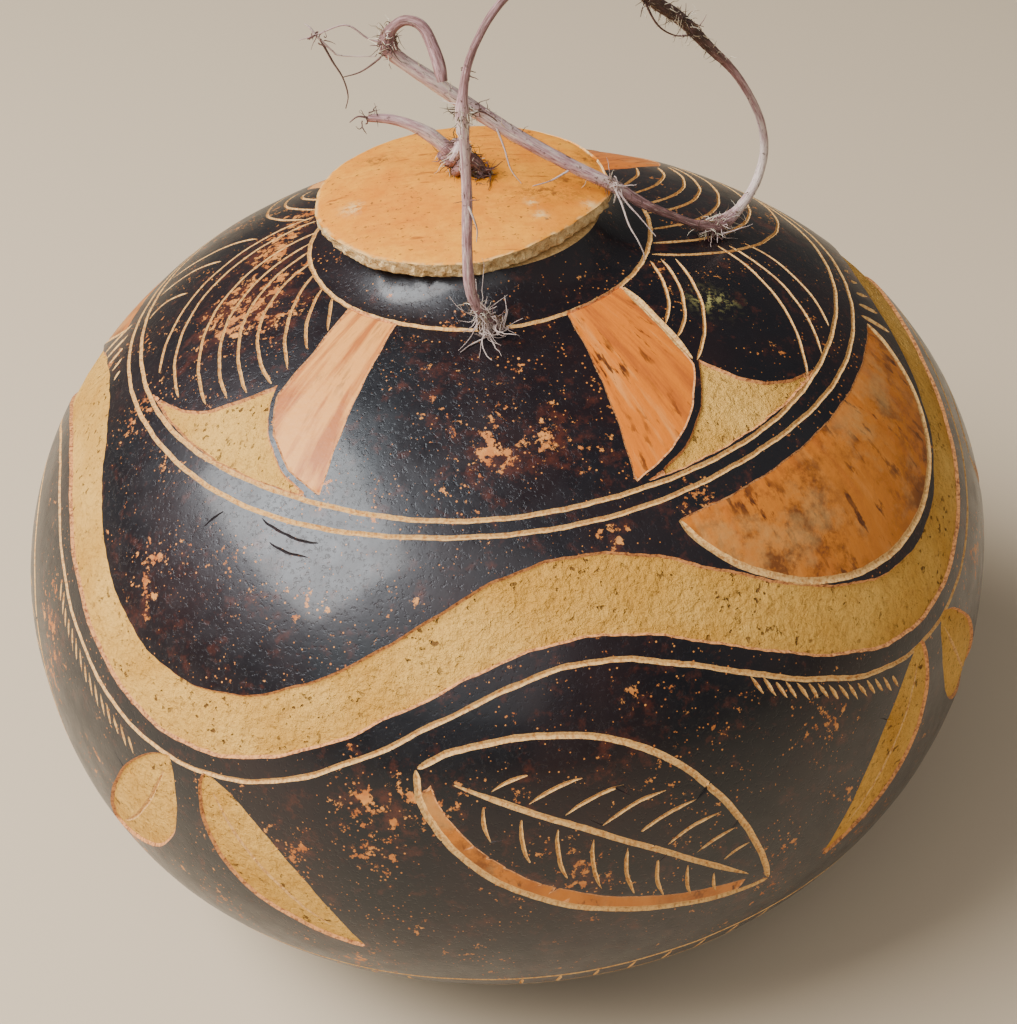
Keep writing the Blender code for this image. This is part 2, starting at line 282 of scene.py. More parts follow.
    def incise(self, area, measure, width, deep, kind):
        """Draw a V groove: measure gives the distance to its line and the width's share."""
        self.refine(area, measure, 1.4, 1.75)
        distance, fade = self.measured(area, measure)
        cuts = self.cut(area, distance, lambda ends, at: (
            fade[ends[:, 0]] * (1 - at) + fade[ends[:, 1]] * at > self.FADED))
        distance, fade = np.append(distance, np.zeros(len(cuts[0]))), carried(fade, *cuts)
        half = np.where(fade > self.FADED, width / 2 * fade, -1.0)
        value = np.abs(distance) - half
        cuts = self.cut(area, value)
        value, half = np.append(value, np.zeros(len(cuts[0]))), carried(half, *cuts)
        inside = value < 0
        self.depth[inside] += (deep * np.minimum(1, half[inside] * 2 / width)
                               * -value[inside] / half[inside])
        self.kind[value[self.faces].mean(axis=1) < self.JUST_INSIDE] = kind

    def clear(self, area, measure, deep, slope, kind, slope_kind):
        """Scrape a patch down: measure gives the distance to its edge, below 0 inside."""
        self.refine(area, measure, 1.7, 1.85)
        value = self.measured(area, measure)[0]
        for level in (0.0, slope):
            shifted = value + level
            cuts = self.cut(area, shifted)
            value = np.append(shifted - level, np.full(len(cuts[0]), -level))
        self.depth = self.depth + deep * np.clip(-value / slope, 0, 1)
        middle = value[self.faces].mean(axis=1)
        self.kind[(middle < self.JUST_INSIDE) & (middle > -slope)] = slope_kind
        self.kind[middle <= -slope] = kind


def smooth_route(route, step):
    """Points read from a smooth curve through the route's own points, a step apart."""
    knots = np.array(route, float)
    ends = np.vstack((2 * knots[0] - knots[1], knots, 2 * knots[-1] - knots[-2]))
    reach = min(3, knots.shape[1])
    points = [knots[0]]
    for before, start, end, after in zip(ends, ends[1:], ends[2:], ends[3:]):
        steps = max(1, round(np.linalg.norm((end - start)[:reach]) / step))
        for t in np.arange(1, steps + 1) / steps:
            bend = 2 * start + (end - before) * t
            bend = bend + (2 * before - 5 * start + 4 * end - after) * t * t
            points.append((bend + (3 * start - before - 3 * end + after) * t ** 3) / 2)
    return np.array(points)


def bow(start, control, end, count=14):
    """Points of a hand-drawn arc, pulled towards its control point."""
    t = np.linspace(0, 1, count)[:, None]
    start, control, end = np.array(start, float), np.array(control, float), np.array(end, float)
    return (1 - t) ** 2 * start + 2 * t * (1 - t) * control + t * t * end


def line_area(route, spare=5.0):
    """The part of the gourd round a line: bearing and its reach, lowest and highest run."""
    low, high = route.min(axis=0), route.max(axis=0)
    thin = max(float(radius_at(low[1] - spare)) if low[1] < 160 else float(radius_at(high[1] + spare)), 20.0)
    reach = (high[0] - low[0]) / 2 + math.degrees(spare / thin)
    return (low[0] + high[0]) / 2, reach, low[1] - spare, high[1] + spare


def line_measure(route, fades=3.0, closed=False):
    """Signed distance to a drawn line and the share of its full width there."""
    middle = (route[:, 0].min() + route[:, 0].max()) / 2
    pieces = list(zip(route, route[1:]))
    sizes = [math.hypot(math.radians(b[0] - a[0]) * float(radius_at((a[1] + b[1]) / 2)), b[1] - a[1])
             for a, b in pieces]
    total = sum(sizes)

    def measure(bearing, run):
        bearing = half_turn(bearing - middle) + middle
        reach = np.radians(1.0) * radius_at(run)
        best, signed, along = np.full(len(run), 1e9), np.zeros(len(run)), np.zeros(len(run))
        travelled = 0.0
        for place, ((a, b), size) in enumerate(zip(pieces, sizes)):
            dx, dy = (b[0] - a[0]) * reach, b[1] - a[1]
            px, py = (bearing - a[0]) * reach, run - a[1]
            square = dx * dx + dy * dy
            free = (px * dx + py * dy) / square
            t = np.clip(free, 0, 1)
            gap = np.hypot(px - t * dx, py - t * dy)
            closer = gap < best
            straight = (dx * py - dy * px) / np.sqrt(square)
            first, last = place == 0 and not closed, place == len(pieces) - 1 and not closed
            beyond = ((free < 0) & first) | ((free > 1) & last)
            here = np.where(beyond, straight, np.copysign(gap, straight))
            signed = np.where(closer, here, signed)
            along = np.where(closer, travelled + np.where(beyond, free, t) * size, along)
            best = np.where(closer, gap, best)
            travelled += size
        if closed:
            return signed, np.ones(len(run))
        to_end = np.minimum(along, total - along)
        fade = np.where(to_end <= 0, 0, np.minimum(1, np.maximum(to_end, 1e-6) / fades) ** 0.6)
        return signed, fade

    return measure


def patch_measure(outline):
    """Signed distance to a closed outline, below zero inside it."""
    closed = np.vstack((outline, outline[:1]))
    edge = line_measure(closed, closed=True)
    middle = (outline[:, 0].min() + outline[:, 0].max()) / 2

    def measure(bearing, run):
        distance = np.abs(edge(bearing, run)[0])
        here = half_turn(bearing - middle) + middle
        within = np.zeros(len(run), bool)
        for a, b in zip(closed, closed[1:]):
            crosses = (a[1] > run) != (b[1] > run)
            if a[1] != b[1]:
                within ^= crosses & (here < a[0] + (b[0] - a[0]) * (run - a[1]) / (b[1] - a[1]))
        return np.where(within, -distance, distance), np.ones(len(run))

    return measure


def unsteady(measure, amount, seed):
    """The same mark, cut by a hand that isn't quite steady."""
    def measured(bearing, run):
        distance, fade = measure(bearing, run)
        turn = np.radians(bearing)
        shake = np.sin(turn * 47 + seed) + np.sin(run * 0.61 + seed * 2.3) * 0.8
        shake += np.sin(turn * 131 + run * 0.9 + seed * 1.7) * 0.6
        return distance + amount * shake, fade
    return measured


DYED, PITH, RIND, CUT_LINE, CUT_EDGE, INSIDE, RIM = range(7)
skin = Skin()


def draw(route, width, seed=0.0, fades=3.0, deep=0.45):
    """Incise one line along a route of bearings and runs."""
    route = np.array(route, float)
    skin.incise(line_area(route), unsteady(line_measure(route, fades), 0.07, seed), width, deep, CUT_LINE)


def scrape(outline, deep, kind, seed=0.0, slope=0.45):
    """Scrape one patch inside an outline of bearings and runs."""
    outline = np.array(outline, float)
    skin.clear(line_area(outline), unsteady(patch_measure(outline), 0.10, seed), deep, slope, kind, CUT_EDGE)


def ring_line(run, width, seed, sway=0.5):
    """Incise one ring round the whole gourd."""
    def measure(bearing, at):
        turn = np.radians(bearing)
        middle = run + sway * np.sin(turn * 3 + seed) + sway * 0.5 * np.sin(turn * 7 + seed * 2)
        return at - middle, np.ones(len(at))
    skin.incise((0.0, 180.0, run - 6, run + 6), unsteady(measure, 0.07, seed), width, 0.45, CUT_LINE)


# Carved collar round the neck: rind panels, scraped triangles and fans of thin arcs
# between an inner ring and a double outer ring. The knife cuts through the dyed skin
# down to the pale rind or pith.
RING_RUNS = (86.3, 90.4)
BACK_PANEL = ((138, 39.4), (136, 54), (137, 68), (142, 76), (150, 82), (157, 85.0), (156, 62), (155, 39.4))
PANELS = (
    ((-47, 39.4), (-43.8, 54), (-43.5, 66.5), (-38.5, 75), (-32, 81), (-25.5, 84.6), (-26.5, 62),
     (-27.3, 39.4)),
    ((51.5, 39.4), (47.6, 52), (45.0, 66), (38.5, 74), (31, 80.5), (22.3, 85.0), (25.0, 62), (28.2, 39.4)),
    BACK_PANEL,
    tuple((-bearing, run) for bearing, run in BACK_PANEL),
)
TRIANGLES = (
    ((-68.5, 85.2), (-59.5, 81.6), (-53.5, 77.2), (-49.3, 70.5), (-45.0, 64.6), (-44.0, 67.5), (-39.2, 75.6),
     (-32.6, 81.9), (-27.0, 85.2), (-45, 85.4)),
    ((64.5, 85.6), (58.5, 82.8), (53.5, 79.0), (50.2, 74.0), (46.6, 65.6), (45.2, 67.4), (39.4, 75.0),
     (32.0, 81.8), (23.5, 85.6), (45, 85.4)),
)
LEFT_ARCS = (
    ((-115, 44), (-96.8, 71), (-71.5, 82)),
    ((-111.5, 42), (-89.3, 73.3), (-62, 80.5)),
    ((-102.5, 39.5), (-83, 67), (-55.5, 77)),
    ((-94.5, 40.5), (-76, 63.8), (-52.5, 73)),
    ((-89.5, 39.5), (-73, 59.5), (-49.5, 69.5)),
    ((-81.5, 39.5), (-67.8, 58), (-46, 65)),
    ((-74, 39.5), (-59, 51.3), (-46, 60)),
    ((-64, 39.5), (-54.5, 48.6), (-45.5, 54)),
    ((-57, 39.5), (-51, 43.3), (-45.5, 47.5)),
)
RIGHT_ARCS = (
    ((69.5, 41), (56.3, 51.3), (48, 54.5)),
    ((72.5, 43), (55, 57.3), (47, 58.5)),
    ((75, 46), (56.3, 61.3), (46, 65.5)),
    ((88, 55), (79.5, 69), (61, 85)),
    ((89.5, 58), (82.3, 73.5), (68, 85)),
    ((93, 62), (89.8, 74), (75.5, 85)),
)
SCALLOPS = (
    ((122.5, 40), (128.6, 50), (136, 56.5)),
    ((115.5, 40), (125.5, 58), (136, 65)),
    ((107, 40), (118, 59.8), (137, 71)),
    ((100.5, 40), (112.5, 62), (138.5, 74.5)),
    ((89, 39.5), (106.5, 64), (140, 80)),
    ((80, 40), (103, 73), (136, 85)),
    ((73, 40.5), (99, 78), (122.5, 86)),
)
ring_line(39.8, 1.1, 0.3, 0.25)
for run, seed in zip(RING_RUNS, (1.1, 2.9)):
    ring_line(run, 1.1, seed)
for seed, outline in enumerate(PANELS):
    scrape(outline, 0.18, RIND, seed, slope=0.35)
for seed, outline in enumerate(TRIANGLES):
    scrape(outline, 0.6, PITH, seed + 4)
for seed, arc in enumerate(LEFT_ARCS + RIGHT_ARCS + SCALLOPS):
    draw(bow(*arc), 0.8, seed * 0.7)
for seed, (bearing, run) in enumerate(((-113.5, 47), (-119.5, 44), (-125.5, 42))):
    draw(bow((bearing, run), (bearing - 3, 66), (-136.5 + seed, 76 - 7 * seed)), 0.8, seed)
for seed, (bearing, run) in enumerate(((-107, 58), (-101, 66), (-93, 73))):
    draw(bow((bearing, run), (bearing - 4, run + 9), (bearing + 1, 85.6)), 0.8, seed)
draw(bow((51.5, 40.5), (47.4, 53), (45.6, 65)), 1.9, 2.0, fades=5.0)

# Carved belly: a wavy scraped band runs round it, with rind half-moons above it, dark
# veined leaves under its crests and pairs of scraped leaves under its troughs.
BAND_RUN, BAND_SWING, BAND_HALF = 121.0, 16.0, 7.4
REPEATS, FIRST_CREST = 4, 10.0
LINE_BELOW_BAND = 5.0


def band_run(bearing):
    """Run of the band's middle at a bearing."""
    return BAND_RUN - BAND_SWING * np.cos(np.radians(REPEATS * (bearing - FIRST_CREST)))


def across_band(bearing, run):
    """Distance from the middle of the band, and half its width there."""
    turn = np.radians(REPEATS * (bearing - FIRST_CREST))
    slope = BAND_SWING * REPEATS * np.sin(turn) / radius_at(run)
    half = BAND_HALF + 0.8 * np.sin(turn * 0.75 + 1.0) + 0.5 * np.cos(turn * 2)
    return (run - band_run(bearing)) / np.hypot(1, slope), half


def band_measure(bearing, run):
    """Distance to the edge of the wavy band."""
    off, half = across_band(bearing, run)
    return np.abs(off) - half, np.ones(len(run))


def beside_band(bearing, run):
    """Distance to a line that follows the band, below its lower edge."""
    off, half = across_band(bearing, run)
    return off - half - LINE_BELOW_BAND, np.ones(len(run))


skin.clear((0.0, 180.0, 90.0, 155.0), unsteady(band_measure, 0.16, 5.0), 0.7, 0.5, PITH, CUT_EDGE)
skin.incise((0.0, 180.0, 110.0, 160.0), unsteady(beside_band, 0.12, 2.0), 1.2, 0.45, CUT_LINE)
for trough in range(REPEATS):
    for tick in range(15):
        bearing = FIRST_CREST + 360 / REPEATS * trough + 18 + tick * 1.3
        top = float(band_run(bearing)) + BAND_HALF + 7.6 + 0.12 * (bearing * 7 % 5)
        draw(((bearing, top), (bearing + 1.0, top + 5.0)), 0.95, tick, fades=2.5)


def laid_at(points, bearing, run, turned_deg, flipped=1):
    """Points of a motif drawn flat in mm, laid on the gourd at a place and turned."""
    points = np.array(points, float) * (flipped, 1)
    turned = math.radians(turned_deg) * flipped
    x = points[:, 0] * math.cos(turned) - points[:, 1] * math.sin(turned)
    y = points[:, 0] * math.sin(turned) + points[:, 1] * math.cos(turned)
    return np.c_[bearing + np.degrees(x / radius_at(run + y / 2)), run + y]


EDGE_POINTS = 26
LEAF, LEAF_RIM = (92.0, 42.0, -5.0), 4.4
PLAIN_LEAF = (56.0, 19.0, 4.0)


def leaf_edge(length, width, bend, inset=0.0):
    """Upper edge, lower edge and midrib of a bent leaf, from stalk to tip."""
    t = np.linspace(0, 1, EDGE_POINTS)
    middle = bend * np.sin(np.pi * t)
    half = np.maximum(width / 2 * np.sin(np.pi * t ** 0.82) ** 0.85 - inset, 0)
    x = length * (t - 0.5)
    return np.c_[x, middle - half], np.c_[x, middle + half], np.c_[x, middle]


for crest in range(REPEATS):
    bearing = FIRST_CREST + 360 / REPEATS * crest
    place = (bearing, 163.0, 33.0)
    upper, lower, middle = leaf_edge(*LEAF)
    inner_upper, inner_lower, _ = leaf_edge(*LEAF, inset=LEAF_RIM)
    keep = inner_lower[:, 1] - inner_upper[:, 1] > 0.8
    strip = np.vstack((lower[keep], inner_lower[keep][::-1]))
    scrape(laid_at(strip, *place), 0.15, RIND, crest, slope=0.35)
    outline = laid_at(np.vstack((upper, lower[::-1][1:])), *place)
    draw(outline[:EDGE_POINTS], 1.5, crest, fades=2.0)
    draw(outline[EDGE_POINTS - 1:], 1.5, crest + 3, fades=2.0)
    draw(laid_at(middle[2:-2], *place), 1.5, crest + 1, fades=12.0)
    for vein in range(8):
        t = 0.17 + 0.09 * vein
        x, y = LEAF[0] * (t - 0.5), LEAF[2] * math.sin(math.pi * t)
        long = 15.0 * math.sin(math.pi * t ** 0.85)
        for side in (-1, 1):
            tip = (x + 0.62 * long, y + side * (1.0 + 0.85 * long))
            bend = (x + 0.2 * long, y + side * (1.0 + 0.55 * long))
            draw(laid_at(bow((x, y + side * 1.6), bend, tip, 6), *place), 0.9, vein, fades=4.0)

for trough in range(REPEATS):
    bearing = FIRST_CREST + 360 / REPEATS * (trough + 0.5)
    for flipped in (-1, 1):
        place = (bearing + flipped * 10.5, 171.0, 52.0, flipped)
        upper, lower, middle = leaf_edge(*PLAIN_LEAF)
        scrape(laid_at(np.vstack((upper, lower[::-1][1:-1])), *place), 0.65, PITH, trough)
        draw(laid_at(middle[2:-4], *place), 1.0, trough, fades=10.0, deep=0.5)


MOON_HALF, MOON_TOP, MOON_HEIGHT = 29.0, 95.0, 31.0


def half_moon(bearing):
    """Outline of a half-moon between the collar and a trough of the band."""
    x = np.linspace(-MOON_HALF, MOON_HALF, 40)
    low = MOON_TOP + MOON_HEIGHT * (1 - (x / MOON_HALF) ** 2) ** 0.75
    high = MOON_TOP - 0.6 * np.cos(np.pi * x / (2 * MOON_HALF))
    back = slice(-2, 0, -1)
    return np.vstack((np.c_[bearing + x, low], np.c_[bearing + x[back], high[back]]))


for bearing in (55.0, -125.0):
    outline = half_moon(bearing)
    scrape(outline, 0.18, RIND, bearing, slope=0.35)
    draw(outline[:40], 1.6, bearing)

for run, seed in ((209.0, 0.7), (221.0, 4.1)):
    ring_line(run, 1.2, seed, 0.8)
for bearing in np.arange(0, 360, 4.5):
    if bearing % 45 < 32:
        draw(((bearing - 180, 210.5), (bearing - 180.6, 219.5)), 0.9, bearing, fades=2.5)
for start, turned in ((-96, 1), (85, 1), (176, -1)):
    for stripe in range(5):
        bearing = start + stripe * 3.3 * turned
        end = min(104.0, float(band_run(bearing)) - BAND_HALF - 2.6)
        draw(((bearing, 92.8), (bearing + 1.6, end)), 1.7, stripe, fades=3.0)

SCRATCHES = (((-33, 92.0), (-28, 95.4), (-23, 94.0)), ((-39, 93.5), (-40.2, 96), (-41, 99)),
             ((-30.5, 96.5), (-28.5, 97.6), (-24, 97.6)))
for seed, scratch in enumerate(SCRATCHES):
    route = bow(*scratch, 8)
    skin.incise(line_area(route), unsteady(line_measure(route, 3.0), 0.12, seed), 0.6, 0.25, DYED)

# The gourd's mesh: its points sink by the depth of the carving, and each kind of cut
# surface has its own finish.
WORN_SPOTS = (
    (-12.0, 52.5, 5.0, 0.9), (-10.5, 61.5, 3.0, 0.5), (2.0, 74.0, 7.0, 0.9), (5.5, 93.0, 3.5, 0.9),
    (16.5, 95.0, 4.0, 0.7), (13.5, 69.0, 7.0, 0.7), (19.0, 76.0, 5.0, 0.7), (-76.0, 56.0, 11.0, 1.35),
    (-72.0, 66.0, 8.0, 1.1), (-98.0, 51.5, 9.0, 1.1), (-62.0, 48.0, 6.0, 0.9), (66.5, 44.5, 4.0, 0.5),
    (105.0, 77.0, 5.0, 0.7), (-113.5, 48.5, 6.0, 0.7), (30.0, 94.0, 6.0, 0.6), (36.0, 101.0, 7.0, 0.6),
    (-27.0, 112.0, 5.0, 0.5), (-45.0, 118.0, 7.0, 0.6), (12.0, 140.0, 6.0, 0.7), (-12.0, 148.0, 10.0, 0.8),
    (-22.0, 160.0, 8.0, 0.7), (38.0, 152.0, 8.0, 0.7), (-62.0, 148.0, 9.0, 0.8), (-70.0, 172.0, 10.0, 0.7),
    (6.0, 168.0, 9.0, 0.7), (28.0, 190.0, 9.0, 0.6), (70.0, 150.0, 9.0, 0.7), (100.0, 106.0, 9.0, 0.7),
    (128.0, 160.0, 12.0, 0.8), (172.0, 105.0, 10.0, 0.8), (-160.0, 160.0, 12.0, 0.7),
    (-128.0, 150.0, 9.0, 0.7), (-95.0, 112.0, 9.0, 0.7), (-150.0, 60.0, 8.0, 0.8), (146.0, 58.0, 8.0, 0.8),
    (-18.0, 200.0, 10.0, 0.5), (-50.0, 196.0, 9.0, 0.6),
)
SCUFFED_SPOTS = ((63.5, 57.0, 3.2, 1.0), (67.0, 60.5, 2.0, 0.8))


def spots(bearing, run, places):
    """How strongly each point lies within a list of round places."""
    total = np.zeros(len(run))
    for at, along, reach, strength in places:
        off = np.radians(half_turn(bearing - at)) * float(radius_at(along))
        total = np.maximum(total, strength * np.exp(-(off ** 2 + (run - along) ** 2) / reach ** 2))
    return total


def pitted(place, cell, seed):
    """Uneven bumps between -1 and 1, from a few waves in different directions."""
    waves = np.random.default_rng(seed).normal(size=(7, 3))
    waves /= np.linalg.norm(waves, axis=1)[:, None]
    phases = np.arange(7) * 2.1 + seed
    return sum(np.sin(place @ wave * 2 * np.pi / (cell * (0.8 + 0.1 * i)) + phases[i])
               for i, wave in enumerate(waves)) / 7


def shell_mesh():
    """The carved gourd as one closed mesh in metres."""
    bearing, run = skin.bearing(), skin.where[:, 2]
    place = skin_place(bearing, run)
    out = skin_outward(bearing, run)
    outside = run > MARKS["rim"] + 1
    hollow = pitted(place, 34.0, 3) * 0.16 + pitted(place, 13.0, 5) * 0.05
    rough = np.zeros(len(run))
    rough[np.unique(skin.faces[skin.kind == PITH])] = 1.0
    rough *= np.clip((skin.depth - 0.4) / 0.2, 0, 1) * pitted(place, 3.1, 8) * 0.16
    place = place + out * ((hollow + rough - skin.depth) * outside)[:, None]
    middle_run = run[skin.faces].mean(axis=1)
    kind = skin.kind.copy()
    kind[middle_run < MARKS["mouth"] + 1.2] = INSIDE
    kind[(middle_run >= MARKS["mouth"] + 1.2) & (middle_run < MARKS["rim"] + 0.1)] = RIM
    mesh = bpy.data.meshes.new("gourd_shell_carved")
    mesh.from_pydata((place / 1000).tolist(), [], skin.faces.tolist())
    mesh.polygons.foreach_set("material_index", kind.astype(np.int32))
    for name, places in (("worn", WORN_SPOTS), ("scuffed", SCUFFED_SPOTS)):
        values = spots(bearing, run, places)
        mesh.attributes.new(name, "FLOAT", "POINT").data.foreach_set("value", values)
    turn = np.radians(bearing)
    lay = np.c_[np.sin(turn) * 60, np.cos(turn) * 60, run] / 1000
    mesh.attributes.new("lay", "FLOAT_VECTOR", "POINT").data.foreach_set("vector", lay.ravel())
    return mesh


def add_piece(name, mesh):
    """Put a finished mesh into the scene under its own name."""
    piece = bpy.data.objects.new(name, mesh)
    bpy.context.scene.collection.objects.link(piece)
    return piece


def settle(piece):
    """Keep what a piece's modifiers make as its plain mesh."""
    bpy.context.view_layer.update()
    made = bpy.data.meshes.new_from_object(piece.evaluated_get(bpy.context.evaluated_depsgraph_get()))
    piece.modifiers.clear()
    piece.data = made


HANDLE_HOLE_CENTRE, HANDLE_HOLE_AXIS = (-0.0026, -0.0385, 0.1722), (-0.34, -0.36, 0.87)
HANDLE_HOLE_RADIUS, DRILLED_DEPTH = 0.0030, 0.016


def drilled(piece, centre, axis, radius, depth):
    """Drill a round hole through a wall of a piece."""
    work = bmesh.new()
    bmesh.ops.create_cone(work, cap_ends=True, segments=28, radius1=radius, radius2=radius, depth=depth)
    turn = Vector((0, 0, 1)).rotation_difference(Vector(axis)).to_matrix().to_4x4()
    work.transform(Matrix.Translation(centre) @ turn)
    bmesh.ops.triangulate(work, faces=work.faces)
    drill_mesh = bpy.data.meshes.new("drill")
    work.to_mesh(drill_mesh)
    work.free()
    drill_mesh.polygons.foreach_set("material_index", [RIM] * len(drill_mesh.polygons))
    drill = add_piece("drill", drill_mesh)
    cut = piece.modifiers.new("hole", "BOOLEAN")
    cut.object, cut.operation, cut.solver = drill, "DIFFERENCE", "EXACT"
    settle(piece)
    bpy.data.objects.remove(drill)


class Nodes:
    """A tree of nodes under way, which are added and joined one by one."""

    def node(self, kind, sockets=(), out=0, **settings):
        """Add a node, fill its sockets with links or values and give back one output."""
        made = self.tree.nodes.new(kind)
        for key, value in settings.items():
            setattr(made, key, value)
        for key, value in dict(sockets).items():
            if isinstance(value, bpy.types.NodeSocket):
                self.tree.links.new(value, made.inputs[key])
            else:
                made.inputs[key].default_value = value
        return made.outputs[out]

    def math(self, way, *values):
        """Arithmetic on one or two values."""
        return self.node("ShaderNodeMath", dict(enumerate(values)), operation=way)

    def times(self, a, b):
        """Two values multiplied."""
        return self.math("MULTIPLY", a, b)

    def plus(self, a, b):
        """Two values added."""
        return self.math("ADD", a, b)


class Finish(Nodes):
    """A material under way, with the colour that it has so far as its tone."""

    def __init__(self, name, rough=0.5, **settings):
        self.made = bpy.data.materials.new(name)
        self.made.use_nodes = True
        self.made.diffuse_color = (0.5, 0.5, 0.5, 1)
        self.tree = self.made.node_tree
        self.shader = self.tree.nodes["Principled BSDF"].inputs
        self.shader["Roughness"].default_value = rough
        for socket, value in settings.items():
            self.shader[socket.replace("_", " ")].default_value = value
        self.place = self.node("ShaderNodeTexCoord", out="Object")

    def noise(self, scale, detail=4.0, rough=0.55, stretch=(1, 1, 1), at=None):
        """Noise of a scale per metre, stretched along the piece's own directions."""
        mapped = self.node("ShaderNodeMapping", {"Vector": at or self.place, "Scale": stretch})
        return self.node("ShaderNodeTexNoise", {"Vector": mapped, "Scale": scale, "Detail": detail,
                                                "Roughness": rough, "Distortion": 0.0})

    def ramp(self, value, low, high, to_low=0.0, to_high=1.0):
        """Spread the values between low and high over another range."""
        return self.node("ShaderNodeMapRange", {"Value": value, "From Min": low, "From Max": high,
                                                "To Min": to_low, "To Max": to_high})

    def attribute(self, name, out="Fac"):
        """A value or vector stored on the piece's points."""
        return self.node("ShaderNodeAttribute", out=out, attribute_name=name)

    def blend(self, share, a, b):
        """Two colours mixed by a share."""
        a, b = (value if isinstance(value, bpy.types.NodeSocket) else (*value, 1.0) for value in (a, b))
        return self.node("ShaderNodeMix", {0: share, 6: a, 7: b}, out=2, data_type="RGBA")

    def tint(self, share, colour):
        """Mix a colour into the tone by a share."""
        self.tone = self.blend(share, self.tone, colour)

    def bump(self, height, distance, strength, after=None):
        """Raise the surface by a height, in metres, on top of what came before."""
        sockets = {"Height": height, "Distance": distance, "Strength": strength}
        if after is not None:
            sockets["Normal"] = after
        made = self.node("ShaderNodeBump", sockets)
        self.tree.links.new(made, self.shader["Normal"])
        return made

    def done(self):
        """The material, coloured by its tone."""
        self.tree.links.new(self.tone, self.shader["Base Color"])
        return self.made


def dyed_skin():
    """Nearly black dye, rubbed through to the red-brown rind in flecks."""
    dye = Finish("dyed_skin", 0.3, Specular_IOR_Level=0.42, Specular_Tint=(0.82, 0.91, 1.0, 1.0),
                 Coat_Weight=0.27, Coat_Roughness=0.13)
    worn, patchy = dye.attribute("worn"), dye.noise(70, 4, 0.6)
    lean = dye.plus(dye.ramp(patchy, 0.38, 0.70, -0.12, 0.06), dye.times(worn, 0.16))
    rubbed = dye.ramp(dye.plus(dye.noise(420, 6, 0.68), lean), 0.615, 0.645)
    dots = dye.node("ShaderNodeTexVoronoi", {"Vector": dye.place, "Scale": 700.0, "Randomness": 1.0})
    size = dye.ramp(dye.plus(patchy, dye.times(worn, 0.1)), 0.42, 0.80, 0.05, 0.26)
    bare = dye.math("MAXIMUM", rubbed, dye.ramp(dye.math("SUBTRACT", dots, size), 0.04, -0.03))
    dye.tone = dye.blend(dye.ramp(dye.noise(26, 3), 0.42, 0.66), (0.0045, 0.0034, 0.0054),
                         (0.014, 0.0050, 0.0058))
    reddish = dye.plus(dye.noise(240, 5, 0.7), dye.times(worn, 0.16))
    dye.tint(dye.ramp(reddish, 0.56, 0.76, 0.0, 0.65), (0.10, 0.022, 0.010))
    rind = dye.ramp(dye.noise(300, 3), 0.35, 0.65)
    dye.tint(bare, dye.blend(rind, (0.42, 0.110, 0.013), (0.68, 0.28, 0.060)))
    scuff = dye.ramp(dye.noise(520, 6, 0.75), 0.50, 0.58)
    dye.tint(dye.times(dye.attribute("scuffed"), scuff), (0.42, 0.38, 0.12))
    rough = dye.ramp(dye.plus(bare, dye.noise(160, 4)), 0.3, 1.2, 0.30, 0.60)
    dye.tree.links.new(rough, dye.shader["Roughness"])
    pits = dye.ramp(dye.noise(1000, 3, 0.6), 0.34, 0.44)
    dye.bump(pits, 0.00014, 0.35, dye.bump(dye.noise(170, 4, 0.55), 0.0005, 0.22))
    return dye.done()


def scraped_pith():
    """Pale golden pith, left rough and pitted by the scraper."""
    pith = Finish("scraped_pith", 0.85, Specular_IOR_Level=0.15)
    lay, grain = pith.attribute("lay", "Vector"), pith.noise(700, 6, 0.68)
    pith.tone = pith.blend(pith.ramp(pith.noise(50, 5, 0.6), 0.35, 0.65), (0.66, 0.335, 0.055),
                           (0.86, 0.50, 0.115))
    pith.tint(pith.ramp(grain, 0.32, 0.50, 0.5, 0.0), (0.44, 0.21, 0.05))
    holed = pith.times(pith.ramp(pith.noise(1150, 2, 0.5, (1, 1, 0.6), lay), 0.37, 0.31),
                       pith.ramp(pith.noise(90, 5), 0.42, 0.58, 0.20, 1.0))
    pith.tint(pith.times(holed, 0.9), (0.15, 0.065, 0.02))
    sunk = pith.math("SUBTRACT", grain, holed)
    pith.bump(sunk, 0.0009, 0.9, pith.bump(pith.noise(330, 5, 0.6), 0.0020, 0.9))
    return pith.done()


